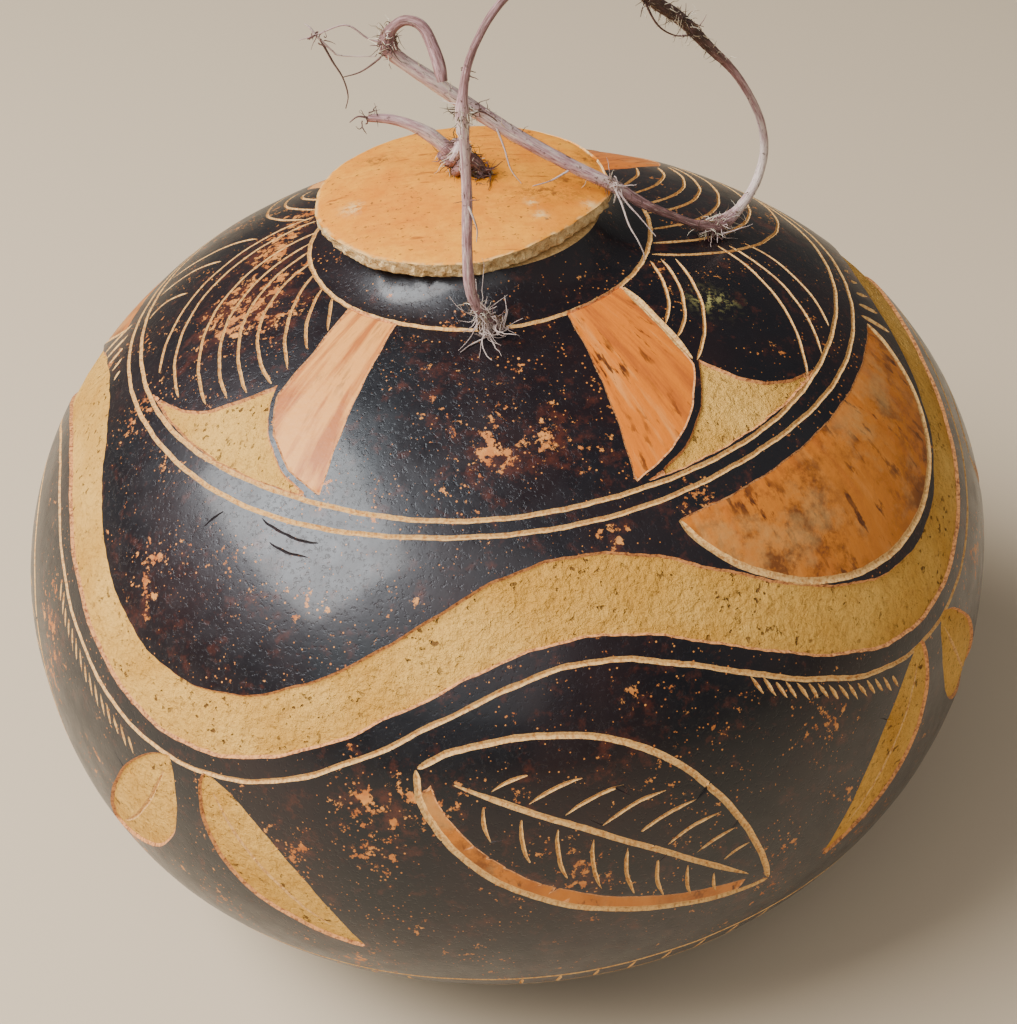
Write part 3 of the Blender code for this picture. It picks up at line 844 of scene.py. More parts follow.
def bare_rind():
    """Orange rind, wiped with the dye and streaked by the knife from the neck down, with a painted sheen that
    makes it paler left of the middle.
    """
    rind = Finish("bare_rind", 0.42, Specular_IOR_Level=0.3)
    lay = rind.attribute("lay", "Vector")
    # Painted sheen: rind left of the middle (x below 0) gets a paler orange that stands in for the lamp's
    # gloss, while the right side and the low half-moons get the deeper orange.
    right = rind.ramp(rind.node("ShaderNodeSeparateXYZ", {0: rind.place}), -0.03, 0.02)
    low = rind.ramp(rind.node("ShaderNodeSeparateXYZ", {0: lay}, out=2), 0.088, 0.100)
    rind.tone = rind.blend(rind.math("MAXIMUM", right, low), (0.84, 0.36, 0.085), (0.70, 0.185, 0.013))
    rind.tint(rind.times(low, 0.8), (0.50, 0.17, 0.022))
    streak, plain = rind.noise(300, 5, 0.6, (1, 1, 0.10), lay), rind.ramp(low, 0.0, 1.0, 1.0, 0.35)
    rind.tint(rind.times(rind.ramp(streak, 0.48, 0.62, 0.0, 0.8), plain), (0.42, 0.10, 0.018))
    rind.tint(rind.times(rind.ramp(streak, 0.44, 0.34, 0.0, 0.5), plain), (0.80, 0.36, 0.10))
    dashes = rind.times(rind.ramp(rind.noise(640, 4, 0.6, (1, 1, 0.22), lay), 0.56, 0.62),
                        rind.ramp(rind.noise(90, 3), 0.42, 0.60))
    # The dark knife dashes are denser on the right side, away from the painted sheen.
    rind.tint(rind.times(dashes, rind.ramp(right, 0.0, 1.0, 0.35, 0.9)), (0.05, 0.014, 0.008))
    mottled = rind.times(rind.ramp(rind.noise(130, 6, 0.74), 0.46, 0.60),
                         rind.ramp(rind.noise(34, 2), 0.36, 0.56))
    rind.tint(rind.times(rind.times(mottled, low), 0.85), (0.11, 0.032, 0.010))
    paler = rind.ramp(rind.noise(70, 5, 0.65), 0.52, 0.66)
    rind.tint(rind.times(paler, rind.times(low, 0.5)), (0.52, 0.29, 0.10))
    rind.bump(rind.noise(420, 4), 0.0003, 0.5, rind.bump(streak, 0.0003, 0.5))
    return rind.done()


def cut_finish(name, pale, dark):
    """Rind cut by the knife point, pale with a darker grain."""
    cut = Finish(name, 0.75)
    cut.tone = cut.blend(cut.ramp(cut.noise(1300, 5, 0.65), 0.36, 0.56), dark, pale)
    cut.bump(cut.noise(1500, 3), 0.0002, 0.6)
    return cut.done()


shell = add_piece("carved_gourd", shell_mesh())
for made in (dyed_skin(), scraped_pith(), bare_rind(),
             cut_finish("cut_line", (0.78, 0.48, 0.17), (0.46, 0.20, 0.05)),
             cut_finish("cut_edge", (0.74, 0.33, 0.11), (0.22, 0.065, 0.02)),
             cut_finish("inner_wall", (0.60, 0.42, 0.20), (0.40, 0.25, 0.11)),
             cut_finish("rim_cut", (0.72, 0.48, 0.20), (0.46, 0.27, 0.09))):
    shell.data.materials.append(made)
drilled(shell, HANDLE_HOLE_CENTRE, HANDLE_HOLE_AXIS, HANDLE_HOLE_RADIUS, DRILLED_DEPTH)
shell.data.shade_smooth()
shell.data.set_sharp_from_angle(angle=math.radians(24))
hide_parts("gourd_shell_base", "gourd_shell_shoulder", "gourd_shell_neck")
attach(shell, "root")

# Lid: a disc cut from the rind of another gourd, about 4 mm thick and slightly domed,
# with a rough pithy rim and underside. It rests loosely on the neck's rim.
LID_CENTRE = np.array((-2.8, 0.9))
LID_RADIUS, LID_BOTTOM, LID_THICKNESS, LID_DOME = 33.6, 181.0, 4.2, 3.5
LID_HOLE_CENTRE, LID_HOLE_RADIUS = np.array((1.3, 3.0)), 2.7
LID_SEGMENTS, TOP_LEVEL = 300, 1.0
LID_SCUFFS = ((-27.8, -6.3, 2.3, 2.3), (14.3, -15.2, 1.5, 1.5), (12.4, -10.3, 1.3, 1.3),
              (25.5, -10.2, 1.6, 1.6), (24.0, 8.0, 1.4, 1.4))
LID_STAINS = ((-22.5, 16.6, 4.5, 2.6), (16.0, -6.0, 7.0, 3.0), (22.0, 0.0, 5.0, 2.0), (3.6, 1.0, 3.0, 2.6),
              (26.0, 12.5, 6.0, 3.0))


def lid_outline(angle):
    """Lid radius at an angle from the front, growing towards the right."""
    degrees = half_turn(np.degrees(angle))
    uneven = 0.12 * np.sin(angle * 9 + 1) + 0.10 * np.sin(angle * 17) + 0.05 * np.sin(angle * 41 + 2)
    return (LID_RADIUS + np.cos(angle + math.radians(140)) - 2.4 * np.exp(-((degrees - 44) / 27) ** 2)
            + 0.8 * np.exp(-((degrees - 84) / 9) ** 2) + uneven)


def marked_places(place, marks):
    """How strongly each point lies within a list of oval places."""
    return np.clip(sum(np.exp(-((place[:, 0] - x) / wide) ** 2 - ((place[:, 1] - y) / high) ** 2)
                       for x, y, wide, high in marks), 0, 1)


def lid_mesh():
    """Rings of points from the hole over the top, round the rim and back underneath."""
    angle = 2 * np.pi * np.arange(LID_SEGMENTS) / LID_SEGMENTS
    out = np.c_[np.sin(angle), -np.cos(angle)]
    top = [(share, TOP_LEVEL, 0.0) for share in (*np.linspace(0, 0.94, 26), 0.965, 0.985, 0.996)]
    rim = [(1.001, 0.95, 0.05), (1.001, 0.87, 0.4), (0.998, 0.76, 0.8), (0.995, 0.64, 1.0),
           (0.992, 0.52, 1.0), (0.989, 0.40, 1.0), (0.985, 0.28, 0.9), (0.980, 0.16, 0.8), (0.972, 0.06, 0.6)]
    under = [(share, 0.0, 0.35) for share in np.linspace(0.955, 0.0, 18)]
    layers = top + rim + under
    points, values = [], {"edge": [], "scuff": [], "stain": []}
    hole, turn = LID_HOLE_CENTRE + LID_HOLE_RADIUS * out, half_turn(np.degrees(angle))
    for share, level, rough in layers:
        place = hole + share * (LID_CENTRE + lid_outline(angle)[:, None] * out - hole)
        reach = np.linalg.norm(place - LID_CENTRE, axis=1) / LID_RADIUS
        height = LID_BOTTOM + LID_DOME * (1 - reach * reach) + level * LID_THICKNESS
        spot = np.c_[place, height]
        if level == TOP_LEVEL:
            height = height + pitted(spot, 26.0, 21) * 0.22 + pitted(spot, 9.0, 22) * 0.05
            worn, edge = np.clip((share - 0.80) / 0.2, 0, 1) ** 2, np.clip((share - 0.95) / 0.05, 0, 1) ** 2
            height = height - 0.8 * np.exp(-((turn - 108) / 26) ** 2) * worn - 0.22 * edge
        else:
            chips = pitted(spot, 2.2, 23) + 0.7 * pitted(spot, 4.5, 24) + 0.6 * pitted(spot, 1.4, 25)
            place = place + out * (chips * rough * 0.85 - rough * 0.20)[:, None]
            height = height + chips * rough * 0.30 * (0.2 if level > 0 else 1.0)
        points.append(np.c_[place, height])
        values["edge"].append(np.full(LID_SEGMENTS, share if level == TOP_LEVEL else 1.0))
        values["scuff"].append(marked_places(place, LID_SCUFFS))
        values["stain"].append(marked_places(place, LID_STAINS))
    firsts = LID_SEGMENTS * (np.arange(len(layers) + 1) % len(layers))
    faces = np.vstack([joined_rings(a, LID_SEGMENTS, b, LID_SEGMENTS, number % 2)
                       for number, (a, b) in enumerate(zip(firsts, firsts[1:]))])
    owner = np.repeat(np.arange(len(layers)), 2 * LID_SEGMENTS)
    mesh = bpy.data.meshes.new("lid_disc")
    mesh.from_pydata((stand(np.vstack(points)) / 1000).tolist(), [], faces.tolist())
    mesh.polygons.foreach_set("material_index", (owner >= len(top)).astype(np.int32))
    for name, found in values.items():
        mesh.attributes.new(name, "FLOAT", "POINT").data.foreach_set("value", np.concatenate(found))
    return mesh


def face_outwards(mesh):
    """Turn the faces of a closed mesh outwards."""
    work = bmesh.new()
    work.from_mesh(mesh)
    bmesh.ops.recalc_face_normals(work, faces=work.faces)
    work.to_mesh(mesh)
    work.free()


def lid_rind():
    """Orange rind with fine scratches, pale scuffs and brown stains."""
    rind = Finish("lid_rind", 0.5, Specular_IOR_Level=0.25)
    rind.tone = rind.blend(rind.ramp(rind.noise(55, 5, 0.6), 0.35, 0.66), (0.78, 0.26, 0.012),
                           (0.93, 0.40, 0.030))
    rind.tint(rind.ramp(rind.noise(420, 6, 0.7), 0.40, 0.62, 0.0, 0.35), (0.55, 0.14, 0.014))
    streak = rind.ramp(rind.noise(260, 5, 0.6, (0.35, 1.6, 1.0)), 0.50, 0.72)
    rind.tint(rind.times(streak, 0.40), (0.60, 0.165, 0.018))
    stain = rind.times(rind.attribute("stain"), rind.ramp(rind.noise(480, 6, 0.75), 0.46, 0.58))
    rind.tint(rind.times(stain, 0.9), (0.17, 0.055, 0.018))
    scratched = rind.times(rind.ramp(rind.noise(330, 4, 0.6, (0.22, 1.6, 1.0)), 0.60, 0.66),
                           rind.ramp(rind.noise(60, 3), 0.45, 0.60, 0.1, 0.9))
    rind.tint(scratched, (0.36, 0.10, 0.016))
    rind.tint(rind.ramp(rind.noise(760, 5, 0.7), 0.60, 0.66), (0.24, 0.09, 0.025))
    scuff = rind.times(rind.attribute("scuff"), rind.ramp(rind.noise(600, 6, 0.75), 0.44, 0.54))
    rind.tint(scuff, (0.84, 0.55, 0.22))
    rim = rind.times(rind.ramp(rind.attribute("edge"), 0.975, 1.0), rind.ramp(rind.noise(300, 4), 0.42, 0.58))
    rind.tint(rim, (0.84, 0.56, 0.22))
    rind.tree.links.new(rind.ramp(rind.noise(240, 4), 0.3, 0.7, 0.40, 0.62), rind.shader["Roughness"])
    rind.bump(rind.noise(700, 4, 0.6), 0.00016, 0.5, rind.bump(rind.noise(150, 3), 0.0005, 0.4))
    return rind.done()


def lid_pith():
    """Dry pith of the lid's rim and underside, pale and crumbly."""
    pith = Finish("lid_pith", 0.9)
    grain = pith.noise(520, 6, 0.7)
    pith.tone = pith.blend(pith.ramp(grain, 0.36, 0.54), (0.48, 0.27, 0.09), (0.88, 0.64, 0.31))
    pith.tint(pith.ramp(pith.noise(110, 3), 0.55, 0.75, 0.0, 0.7), (0.62, 0.36, 0.12))
    pith.bump(grain, 0.0012, 0.9)
    return pith.done()


lid = add_piece("lid_disc", lid_mesh())
face_outwards(lid.data)
for made in (lid_rind(), lid_pith()):
    lid.data.materials.append(made)
lid.data.shade_smooth()
lid.data.set_sharp_from_angle(angle=math.radians(38))
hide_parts("gourd_lid")
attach(lid, "root")

# Carrying loop: one length of dried runner of a creeping plant, stiff as a twig, 2 to 3.5 mm thick, threaded
# through the hole in the neck and held by a swollen end inside. Each point of its route has its place, its
# radius, how brown its bark is and how hairy it is with roots.
HANDLE_ROUTE = (
    (0.0014, -0.0344, 0.1596, 0.0020, 0.5, 0.2),
    (0.0008, -0.0350, 0.1618, 0.0036, 0.5, 0.2),
    (0.0003, -0.0356, 0.1642, 0.0030, 0.5, 0.2),
    (-0.0004, -0.0364, 0.1668, 0.0014, 0.5, 0.1),
    (-0.0027, -0.0387, 0.1726, 0.0012, 0.5, 1.0),
    (-0.0053, -0.0407, 0.1778, 0.0012, 0.45, 1.0),
    (-0.0069, -0.0420, 0.1840, 0.0012, 0.35, 0.1),
    (-0.0072, -0.0423, 0.1930, 0.0011, 0.32, 0.1),
    (-0.0069, -0.0421, 0.2043, 0.0011, 0.30, 0.15),
    (-0.0071, -0.0423, 0.2160, 0.0010, 0.22, 0.2),
    (-0.0073, -0.0424, 0.2235, 0.0015, 0.15, 1.0),
    (-0.0072, -0.0424, 0.2270, 0.0010, 0.40, 0.2),
    (-0.0057, -0.0410, 0.2341, 0.0008, 0.60, 0.3),
    (-0.0019, -0.0378, 0.2408, 0.0008, 0.62, 0.2),
    (0.0030, -0.0335, 0.2450, 0.0008, 0.55, 0.2),
    (0.0098, -0.0278, 0.2472, 0.0009, 0.60, 0.3),
    (0.0160, -0.0226, 0.2465, 0.0011, 0.85, 0.5),
    (0.0232, -0.0164, 0.2420, 0.0013, 1.0, 0.7),
    (0.0310, -0.0097, 0.2336, 0.0014, 1.0, 0.8),
    (0.0392, -0.0028, 0.2254, 0.0014, 1.0, 0.8),
    (0.0454, 0.0025, 0.2174, 0.0012, 0.9, 0.6),
    (0.0532, 0.0092, 0.2072, 0.0009, 0.45, 0.3),
    (0.0596, 0.0146, 0.1948, 0.0009, 0.20, 0.15),
    (0.0616, 0.0160, 0.1856, 0.0010, 0.05, 0.15),
    (0.0600, 0.0140, 0.1782, 0.0011, 0.0, 0.3),
    (0.0556, 0.0092, 0.1736, 0.0012, 0.15, 0.7),
    (0.0503, 0.0036, 0.1726, 0.0020, 0.55, 1.0),
    (0.0452, 0.0002, 0.1745, 0.0011, 0.75, 0.7),
    (0.0395, -0.0012, 0.1776, 0.0009, 0.70, 0.2),
    (0.0319, -0.0030, 0.1821, 0.0012, 0.60, 0.2),
    (0.0252, -0.0046, 0.1874, 0.0014, 0.25, 0.8),
    (0.0160, -0.0048, 0.1926, 0.0015, 0.28, 0.1),
    (0.0048, -0.0048, 0.1994, 0.0016, 0.25, 0.15),
    (-0.0060, -0.0048, 0.2070, 0.0017, 0.18, 0.6),
    (-0.0145, -0.0050, 0.2136, 0.0017, 0.10, 0.2),
    (-0.0217, -0.0052, 0.2192, 0.0016, 0.20, 0.4),
    (-0.0236, -0.0052, 0.2222, 0.0020, 0.65, 1.0),
    (-0.0228, -0.0054, 0.2254, 0.0013, 0.55, 0.9),
    (-0.0196, -0.0060, 0.2278, 0.0011, 0.60, 0.3),
    (-0.0160, -0.0070, 0.2268, 0.0012, 0.55, 0.15),
    (-0.0138, -0.0085, 0.2226, 0.0013, 0.50, 0.1),
    (-0.0126, -0.0098, 0.2188, 0.0014, 0.50, 0.1),
    (-0.0120, -0.0108, 0.2160, 0.0011, 0.60, 0.3),
)
ATTRIBUTES = ("thick", "brown", "hairy")


class Growth(Nodes):
    """A Geometry Nodes tree under way, with named inputs."""

    def __init__(self, name, inputs):
        self.tree = bpy.data.node_groups.new(name, "GeometryNodeTree")
        self.sockets = {}
        for label, kind, value in (("Geometry", "NodeSocketGeometry", None),) + inputs:
            made = self.tree.interface.new_socket(label, in_out="INPUT", socket_type=kind)
            if value is not None:
                made.default_value = value
            self.sockets[label] = made.identifier
        self.tree.interface.new_socket("Geometry", in_out="OUTPUT", socket_type="NodeSocketGeometry")
        self.given = self.tree.nodes.new("NodeGroupInput").outputs

    def stored(self, name, kind="FLOAT"):
        """A value stored on the points under a name."""
        return self.node("GeometryNodeInputNamedAttribute", {"Name": name}, data_type=kind)

    def store(self, geometry, name, value, kind="FLOAT"):
        """Store a value on the points under a name."""
        sockets = {"Geometry": geometry, "Name": name, "Value": value}
        return self.node("GeometryNodeStoreNamedAttribute", sockets, data_type=kind, domain="POINT")

    def vector(self, way, a, b):
        """Arithmetic on a vector and another, or on a vector and a scale."""
        return self.node("ShaderNodeVectorMath", {0: a, "Scale" if way == "SCALE" else 1: b}, operation=way)

    def tube(self, line, profile, thick):
        """Round the lines out into tubes."""
        return self.node("GeometryNodeCurveToMesh", {"Curve": line, "Profile Curve": profile, "Scale": thick,
                                                     "Fill Caps": True})

    def end(self, geometry):
        """Finish with smooth, real geometry in the given material."""
        smooth = self.node("GeometryNodeSetShadeSmooth", {"Geometry": geometry})
        real = self.node("GeometryNodeRealizeInstances", {"Geometry": smooth})
        shown = self.node("GeometryNodeSetMaterial", {"Geometry": real, "Material": self.given["Finish"]})
        self.tree.links.new(shown, self.tree.nodes.new("NodeGroupOutput").inputs[0])

    def grow(self, start, name, **inputs):
        """Run the tree on a mesh and keep the result as a plain mesh under a name."""
        piece = add_piece(name, start)
        modifier = piece.modifiers.new("growth", "NODES")
        modifier.node_group = self.tree
        for label, value in inputs.items():
            modifier[self.sockets[label]] = value
        settle(piece)
        piece.data.name = name
        return piece


def stem_growth():
    """Round stems along lines of points, with ribbed bark that follows each stem."""
    stem = Growth("stems", (("Finish", "NodeSocketMaterial", None), ("Sides", "NodeSocketInt", 18),
                            ("Relief", "NodeSocketFloat", 0.00025), ("Lumps", "NodeSocketFloat", 0.00025)))
    line = stem.store(stem.node("GeometryNodeMeshToCurve", {"Mesh": stem.given["Geometry"]}), "along",
                      stem.node("GeometryNodeSplineParameter", out=1))
    circle = stem.node("GeometryNodeCurvePrimitiveCircle", {"Resolution": stem.given["Sides"], "Radius": 1.0})
    turn = stem.times(stem.node("GeometryNodeSplineParameter"), 2 * math.pi)
    around = stem.node("ShaderNodeCombineXYZ", {"X": stem.math("COSINE", turn), "Y": stem.math("SINE", turn)})
    tube = stem.tube(line, stem.store(circle, "around", around, "FLOAT_VECTOR"), stem.stored("thick"))
    up = stem.node("ShaderNodeCombineXYZ", {"Z": stem.times(stem.stored("along"), 90.0)})
    tube = stem.store(tube, "bark", stem.vector("ADD", stem.stored("around", "FLOAT_VECTOR"), up),
                      "FLOAT_VECTOR")
    ribs = stem.node("ShaderNodeTexNoise", {"Vector": stem.stored("bark", "FLOAT_VECTOR"), "Scale": 2.6,
                                            "Detail": 3.0})
    swollen = stem.node("ShaderNodeTexNoise", {"Vector": stem.node("GeometryNodeInputPosition"),
                                               "Scale": 420.0, "Detail": 2.0})
    lift = stem.plus(stem.times(stem.math("SUBTRACT", ribs, 0.5), stem.given["Relief"]),
                     stem.times(stem.math("SUBTRACT", swollen, 0.5), stem.given["Lumps"]))
    lift = stem.times(lift, stem.math("DIVIDE", stem.stored("thick"), 0.0014))
    offset = stem.vector("SCALE", stem.node("GeometryNodeInputNormal"), lift)
    stem.end(stem.node("GeometryNodeSetPosition", {"Geometry": tube, "Offset": offset}))
    return stem


def line_mesh(name, routes, step):
    """Lines of points through the routes, which carry their radius and other values."""
    points, edges = [], []
    for route in routes:
        first = len(points)
        points.extend(smooth_route(route, step))
        edges.extend((i, i + 1) for i in range(first, len(points) - 1))
    points = np.array(points)
    mesh = bpy.data.meshes.new(name)
    mesh.from_pydata(points[:, :3].tolist(), edges, [])
    for column, attribute in enumerate(ATTRIBUTES, 3):
        values = np.maximum(points[:, column], 0.0)
        mesh.attributes.new(attribute, "FLOAT", "POINT").data.foreach_set("value", values)
    return mesh


def runner_bark():
    """Dry bark in streaks from nearly white over mauve to dark brown."""
    bark = Finish("runner_bark", 0.72)
    flow = bark.attribute("bark", "Vector")
    streak, fine = bark.noise(2.4, 5, 0.62, at=flow), bark.noise(7.0, 4, 0.6, (1, 1, 0.6), flow)
    share = bark.plus(bark.ramp(streak, 0.30, 0.70, -0.30, 0.30), bark.attribute("brown"))
    bark.tone = bark.blend(bark.ramp(share, 0.0, 0.34), (0.72, 0.60, 0.54), (0.46, 0.27, 0.29))
    bark.tint(bark.ramp(share, 0.34, 0.66), (0.22, 0.105, 0.10))
    bark.tint(bark.ramp(share, 0.66, 1.0), (0.05, 0.026, 0.022))
    bark.tint(bark.times(bark.ramp(fine, 0.58, 0.70), 0.7), (0.70, 0.60, 0.50))
    bark.tint(bark.times(bark.ramp(bark.noise(900, 4, 0.65), 0.60, 0.66), 0.75), (0.09, 0.045, 0.035))
    bark.tint(bark.times(bark.ramp(fine, 0.44, 0.34), 0.75), (0.10, 0.05, 0.045))
    bark.bump(streak, 0.0003, 0.6, bark.bump(fine, 0.00015, 0.6))
    return bark.done()


ROUTE_STEP, ROOT_STEP = 0.0008, 0.0006
bark = runner_bark()
stems = stem_growth()
handle = stems.grow(line_mesh("handle_line", (HANDLE_ROUTE,), ROUTE_STEP), "runner_loop", Finish=bark)
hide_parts("vine_handle")
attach(handle, "root")

# Lid tie: a short length of the same runner through the lid's hole. A swollen end under
# the lid and an overhand knot above it hold it, and its stub points up to the left.
TIE_ROUTE = (
    (-0.0041, 0.0030, 0.1774, 0.0020, 0.5, 0.2),
    (-0.0041, 0.0030, 0.1790, 0.0031, 0.5, 0.2),
    (-0.0041, 0.0030, 0.1806, 0.0028, 0.5, 0.1),
    (-0.0042, 0.0030, 0.1826, 0.0014, 0.6, 0.1),
    (-0.0044, 0.0030, 0.1876, 0.0013, 0.8, 0.7),
    (-0.0056, 0.0032, 0.1897, 0.0015, 0.8, 1.0),
    (-0.0080, 0.0036, 0.1907, 0.0020, 0.6, 1.0),
    (-0.0104, 0.0040, 0.1912, 0.0021, 0.6, 0.8),
    (-0.0121, 0.0043, 0.1929, 0.0018, 0.5, 0.6),
    (-0.0136, 0.0045, 0.1943, 0.0016, 0.2, 0.2),
    (-0.0158, 0.0045, 0.1962, 0.0016, 0.15, 0.1),
    (-0.0192, 0.0045, 0.1983, 0.0013, 0.20, 0.1),
    (-0.0240, 0.0045, 0.2001, 0.0011, 0.35, 0.2),
    (-0.0295, 0.0045, 0.2007, 0.0009, 0.5, 0.7),
)
KNOT_MIDDLE, KNOT_ALONG = Vector((-0.0099, 0.0040, 0.1913)), Vector((-0.75, 0.12, 0.62)).normalized()


def knot_turns():
    """The knot: the runner's end wound twice round itself and tucked under."""
    side = KNOT_ALONG.cross(Vector((0, 1, 0))).normalized()
    up = KNOT_ALONG.cross(side)
    route = []
    for step in range(29):
        t = step / 28
        turn = math.radians(-70 + 800 * t)
        out = 0.0027 + 0.00045 * math.sin(turn * 1.7) - 0.0007 * max(0, t - 0.9) * 10
        place = (KNOT_MIDDLE + KNOT_ALONG * (0.0052 * (t - 0.5))
                 + (side * math.cos(turn) + up * math.sin(turn)) * out)
        route.append((*place, 0.0013 - 0.0004 * abs(t - 0.5), 0.35 + 0.25 * math.sin(turn * 2), 0.9))
    return route


tie = stems.grow(line_mesh("tie_line", (TIE_ROUTE, knot_turns()), ROUTE_STEP), "lid_tie", Finish=bark)
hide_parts("vine_lid_tie")
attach(tie, "root")

# Roots: where the runner once lay on the ground it has fine dry roots, single long ones
# and short tufts at its nodes, pale or nearly black.
LONG_ROOTS = (
    ((-0.0236, -0.0046, 0.2222), (-0.0277, -0.0040, 0.2230), (-0.0324, -0.0040, 0.2261),
     (-0.0389, -0.0040, 0.2240), (-0.0426, -0.0040, 0.2229)),
    ((-0.0389, -0.0040, 0.2240), (-0.0400, -0.0036, 0.2255), (-0.0412, -0.0030, 0.2262)),
    ((-0.0389, -0.0040, 0.2240), (-0.0357, -0.0040, 0.2205), (-0.0338, -0.0040, 0.2193),
     (-0.0262, -0.0046, 0.2192)),
    ((-0.0380, -0.0040, 0.2231), (-0.0357, -0.0040, 0.2180), (-0.0338, -0.0040, 0.2143),
     (-0.0329, -0.0040, 0.2101), (-0.0336, -0.0040, 0.2070)),
    ((-0.0240, -0.0046, 0.2205), (-0.0262, -0.0030, 0.2176), (-0.0300, -0.0030, 0.2150),
     (-0.0338, -0.0040, 0.2143)),
    ((-0.0295, 0.0045, 0.2007), (-0.0318, 0.0040, 0.2012), (-0.0336, 0.0030, 0.2003)),
    ((0.0252, -0.0060, 0.1880), (0.0268, -0.0085, 0.1852), (0.0284, -0.0120, 0.1815),
     (0.0304, -0.0140, 0.1785), (0.0318, -0.0146, 0.1752), (0.0316, -0.0142, 0.1722)),
    ((0.0250, -0.0055, 0.1886), (0.0280, -0.0080, 0.1850), (0.0310, -0.0100, 0.1822),
     (0.0345, -0.0118, 0.1784)),
    ((-0.0010, -0.0060, 0.2034), (0.0008, -0.0080, 0.1990), (0.0022, -0.0095, 0.1945),
     (0.0045, -0.0100, 0.1912)),
    ((0.0150, -0.0064, 0.1922), (0.0110, -0.0090, 0.1912), (0.0070, -0.0110, 0.1910)),
    ((-0.0072, -0.0424, 0.2225), (-0.0040, -0.0400, 0.2228), (-0.0015, -0.0390, 0.2210),
     (-0.0005, -0.0380, 0.2196)),
    ((-0.0070, -0.0425, 0.2040), (-0.0058, -0.0440, 0.2015), (-0.0050, -0.0440, 0.1985),
     (-0.0052, -0.0436, 0.1955)),
    ((0.0296, -0.0110, 0.2350), (0.0330, -0.0100, 0.2280), (0.0372, -0.0060, 0.2235),
     (0.0418, -0.0020, 0.2215)),
)
THICKNESS, BROWNNESS = 0.00022, (0.25, 0.1, 0.1, 0.9, 0.8, 0.8, 0.0, 0.1, 0.05, 0.1, 0.7, 0.0, 0.9)


def rooted(route, brown):
    """A long root that tapers to its tip."""
    last = len(route) - 1
    return [(*place, THICKNESS * (1.3 - 0.8 * i / last), brown, 0.35) for i, place in enumerate(route)]


def hair_growth():
    """Tufts of short bent roots, scattered where the bark under them is hairy."""
    hair = Growth("hairs", (("Finish", "NodeSocketMaterial", None), ("Density", "NodeSocketFloat", 500000.0),
                            ("Shortest", "NodeSocketFloat", 0.0008), ("Longest", "NodeSocketFloat", 0.006),
                            ("Thick", "NodeSocketFloat", 0.00009), ("Seed", "NodeSocketInt", 1)))
    given = hair.given
    density = hair.times(hair.math("POWER", hair.stored("hairy"), 3.0), given["Density"])
    scatter = hair.node("GeometryNodeDistributePointsOnFaces",
                        {"Mesh": given["Geometry"], "Density": density, "Seed": given["Seed"]})
    rod = hair.node("GeometryNodeCurvePrimitiveLine", {"Start": (0, 0, 0), "End": (0, 0, 1)})
    rod = hair.node("GeometryNodeResampleCurve", {"Curve": rod, "Count": 9})
    tilt = hair.node("FunctionNodeRandomValue", {0: (-1.1, -1.1, -3.1), 1: (1.1, 1.1, 3.1),
                                                 "Seed": given["Seed"]}, data_type="FLOAT_VECTOR")
    turned = hair.node("FunctionNodeRotateRotation", {
        "Rotation": scatter.node.outputs["Rotation"],
        "Rotate By": hair.node("FunctionNodeEulerToRotation", {0: tilt})}, rotation_space="LOCAL")
    chance = hair.node("FunctionNodeRandomValue", {2: 0.0, 3: 1.0, "Seed": hair.plus(given["Seed"], 5)},
                       out=1, data_type="FLOAT")
    longer = hair.times(hair.math("POWER", chance, 2.5),
                        hair.math("SUBTRACT", given["Longest"], given["Shortest"]))
    size = hair.plus(given["Shortest"], longer)
    placed = hair.node("GeometryNodeInstanceOnPoints",
                       {"Points": scatter, "Instance": rod, "Rotation": turned, "Scale": size})
    lines = hair.node("GeometryNodeRealizeInstances", {"Geometry": placed})
    factor = hair.node("GeometryNodeSplineParameter")
    swirl = hair.node("ShaderNodeTexNoise", {"Vector": hair.node("GeometryNodeInputPosition"),
                                             "Scale": 300.0, "Detail": 2.0}, out=1)
    swirl = hair.vector("SUBTRACT", swirl, (0.5, 0.5, 0.56))
    offset = hair.vector("SCALE", swirl, hair.times(hair.times(factor, factor), 0.007))
    bent = hair.node("GeometryNodeSetPosition", {"Geometry": lines, "Offset": offset})
    taper = hair.times(given["Thick"], hair.math("SUBTRACT", 1.25, factor))
    square = hair.node("GeometryNodeCurvePrimitiveCircle", {"Resolution": 4, "Radius": 1.0})
    hair.end(hair.tube(bent, square, taper))
    return hair


def root_finish(name, low, high):
    """Dry root skin, uneven in colour."""
    root = Finish(name, 0.8)
    root.tone = root.blend(root.ramp(root.noise(300, 3), 0.35, 0.65), low, high)
    return root.done()


DEEPEST_SUNK = 0.008


def kept_off(place, piece, gap=0.0003):
    """A place moved out of a solid piece, to lie just on its surface."""
    place = Vector(place)
    _, nearest, outward, _ = piece.closest_point_on_mesh(place)
    sunk = (place - nearest).dot(outward) < gap and (place - nearest).length < DEEPEST_SUNK
    return nearest + outward * gap if sunk else place


def tangle(start, way, count, length, brown, seed):
    """Curly roots that start together and lie where the gourd and its lid let them."""
    random = np.random.default_rng(seed)
    routes = []
    for _ in range(count):
        place = Vector(start) + Vector(random.normal(size=3) * 0.0009)
        heading = Vector(way) + Vector(random.normal(size=3) * 0.6)
        curl = Vector(random.normal(size=3) * 2.0)
        reach = length * (0.35 + 0.65 * random.random())
        thick = 0.00009 + 0.00011 * random.random()
        route = []
        for step in range(9):
            place = kept_off(kept_off(place, shell), lid)
            route.append((*place, thick * (1.2 - step / 10), brown, 0.0))
            heading = (heading + (curl + Vector(random.normal(size=3) * 0.9)) * 0.30).normalized()
            place = place + heading * reach / 8
        routes.append(route)
    return routes


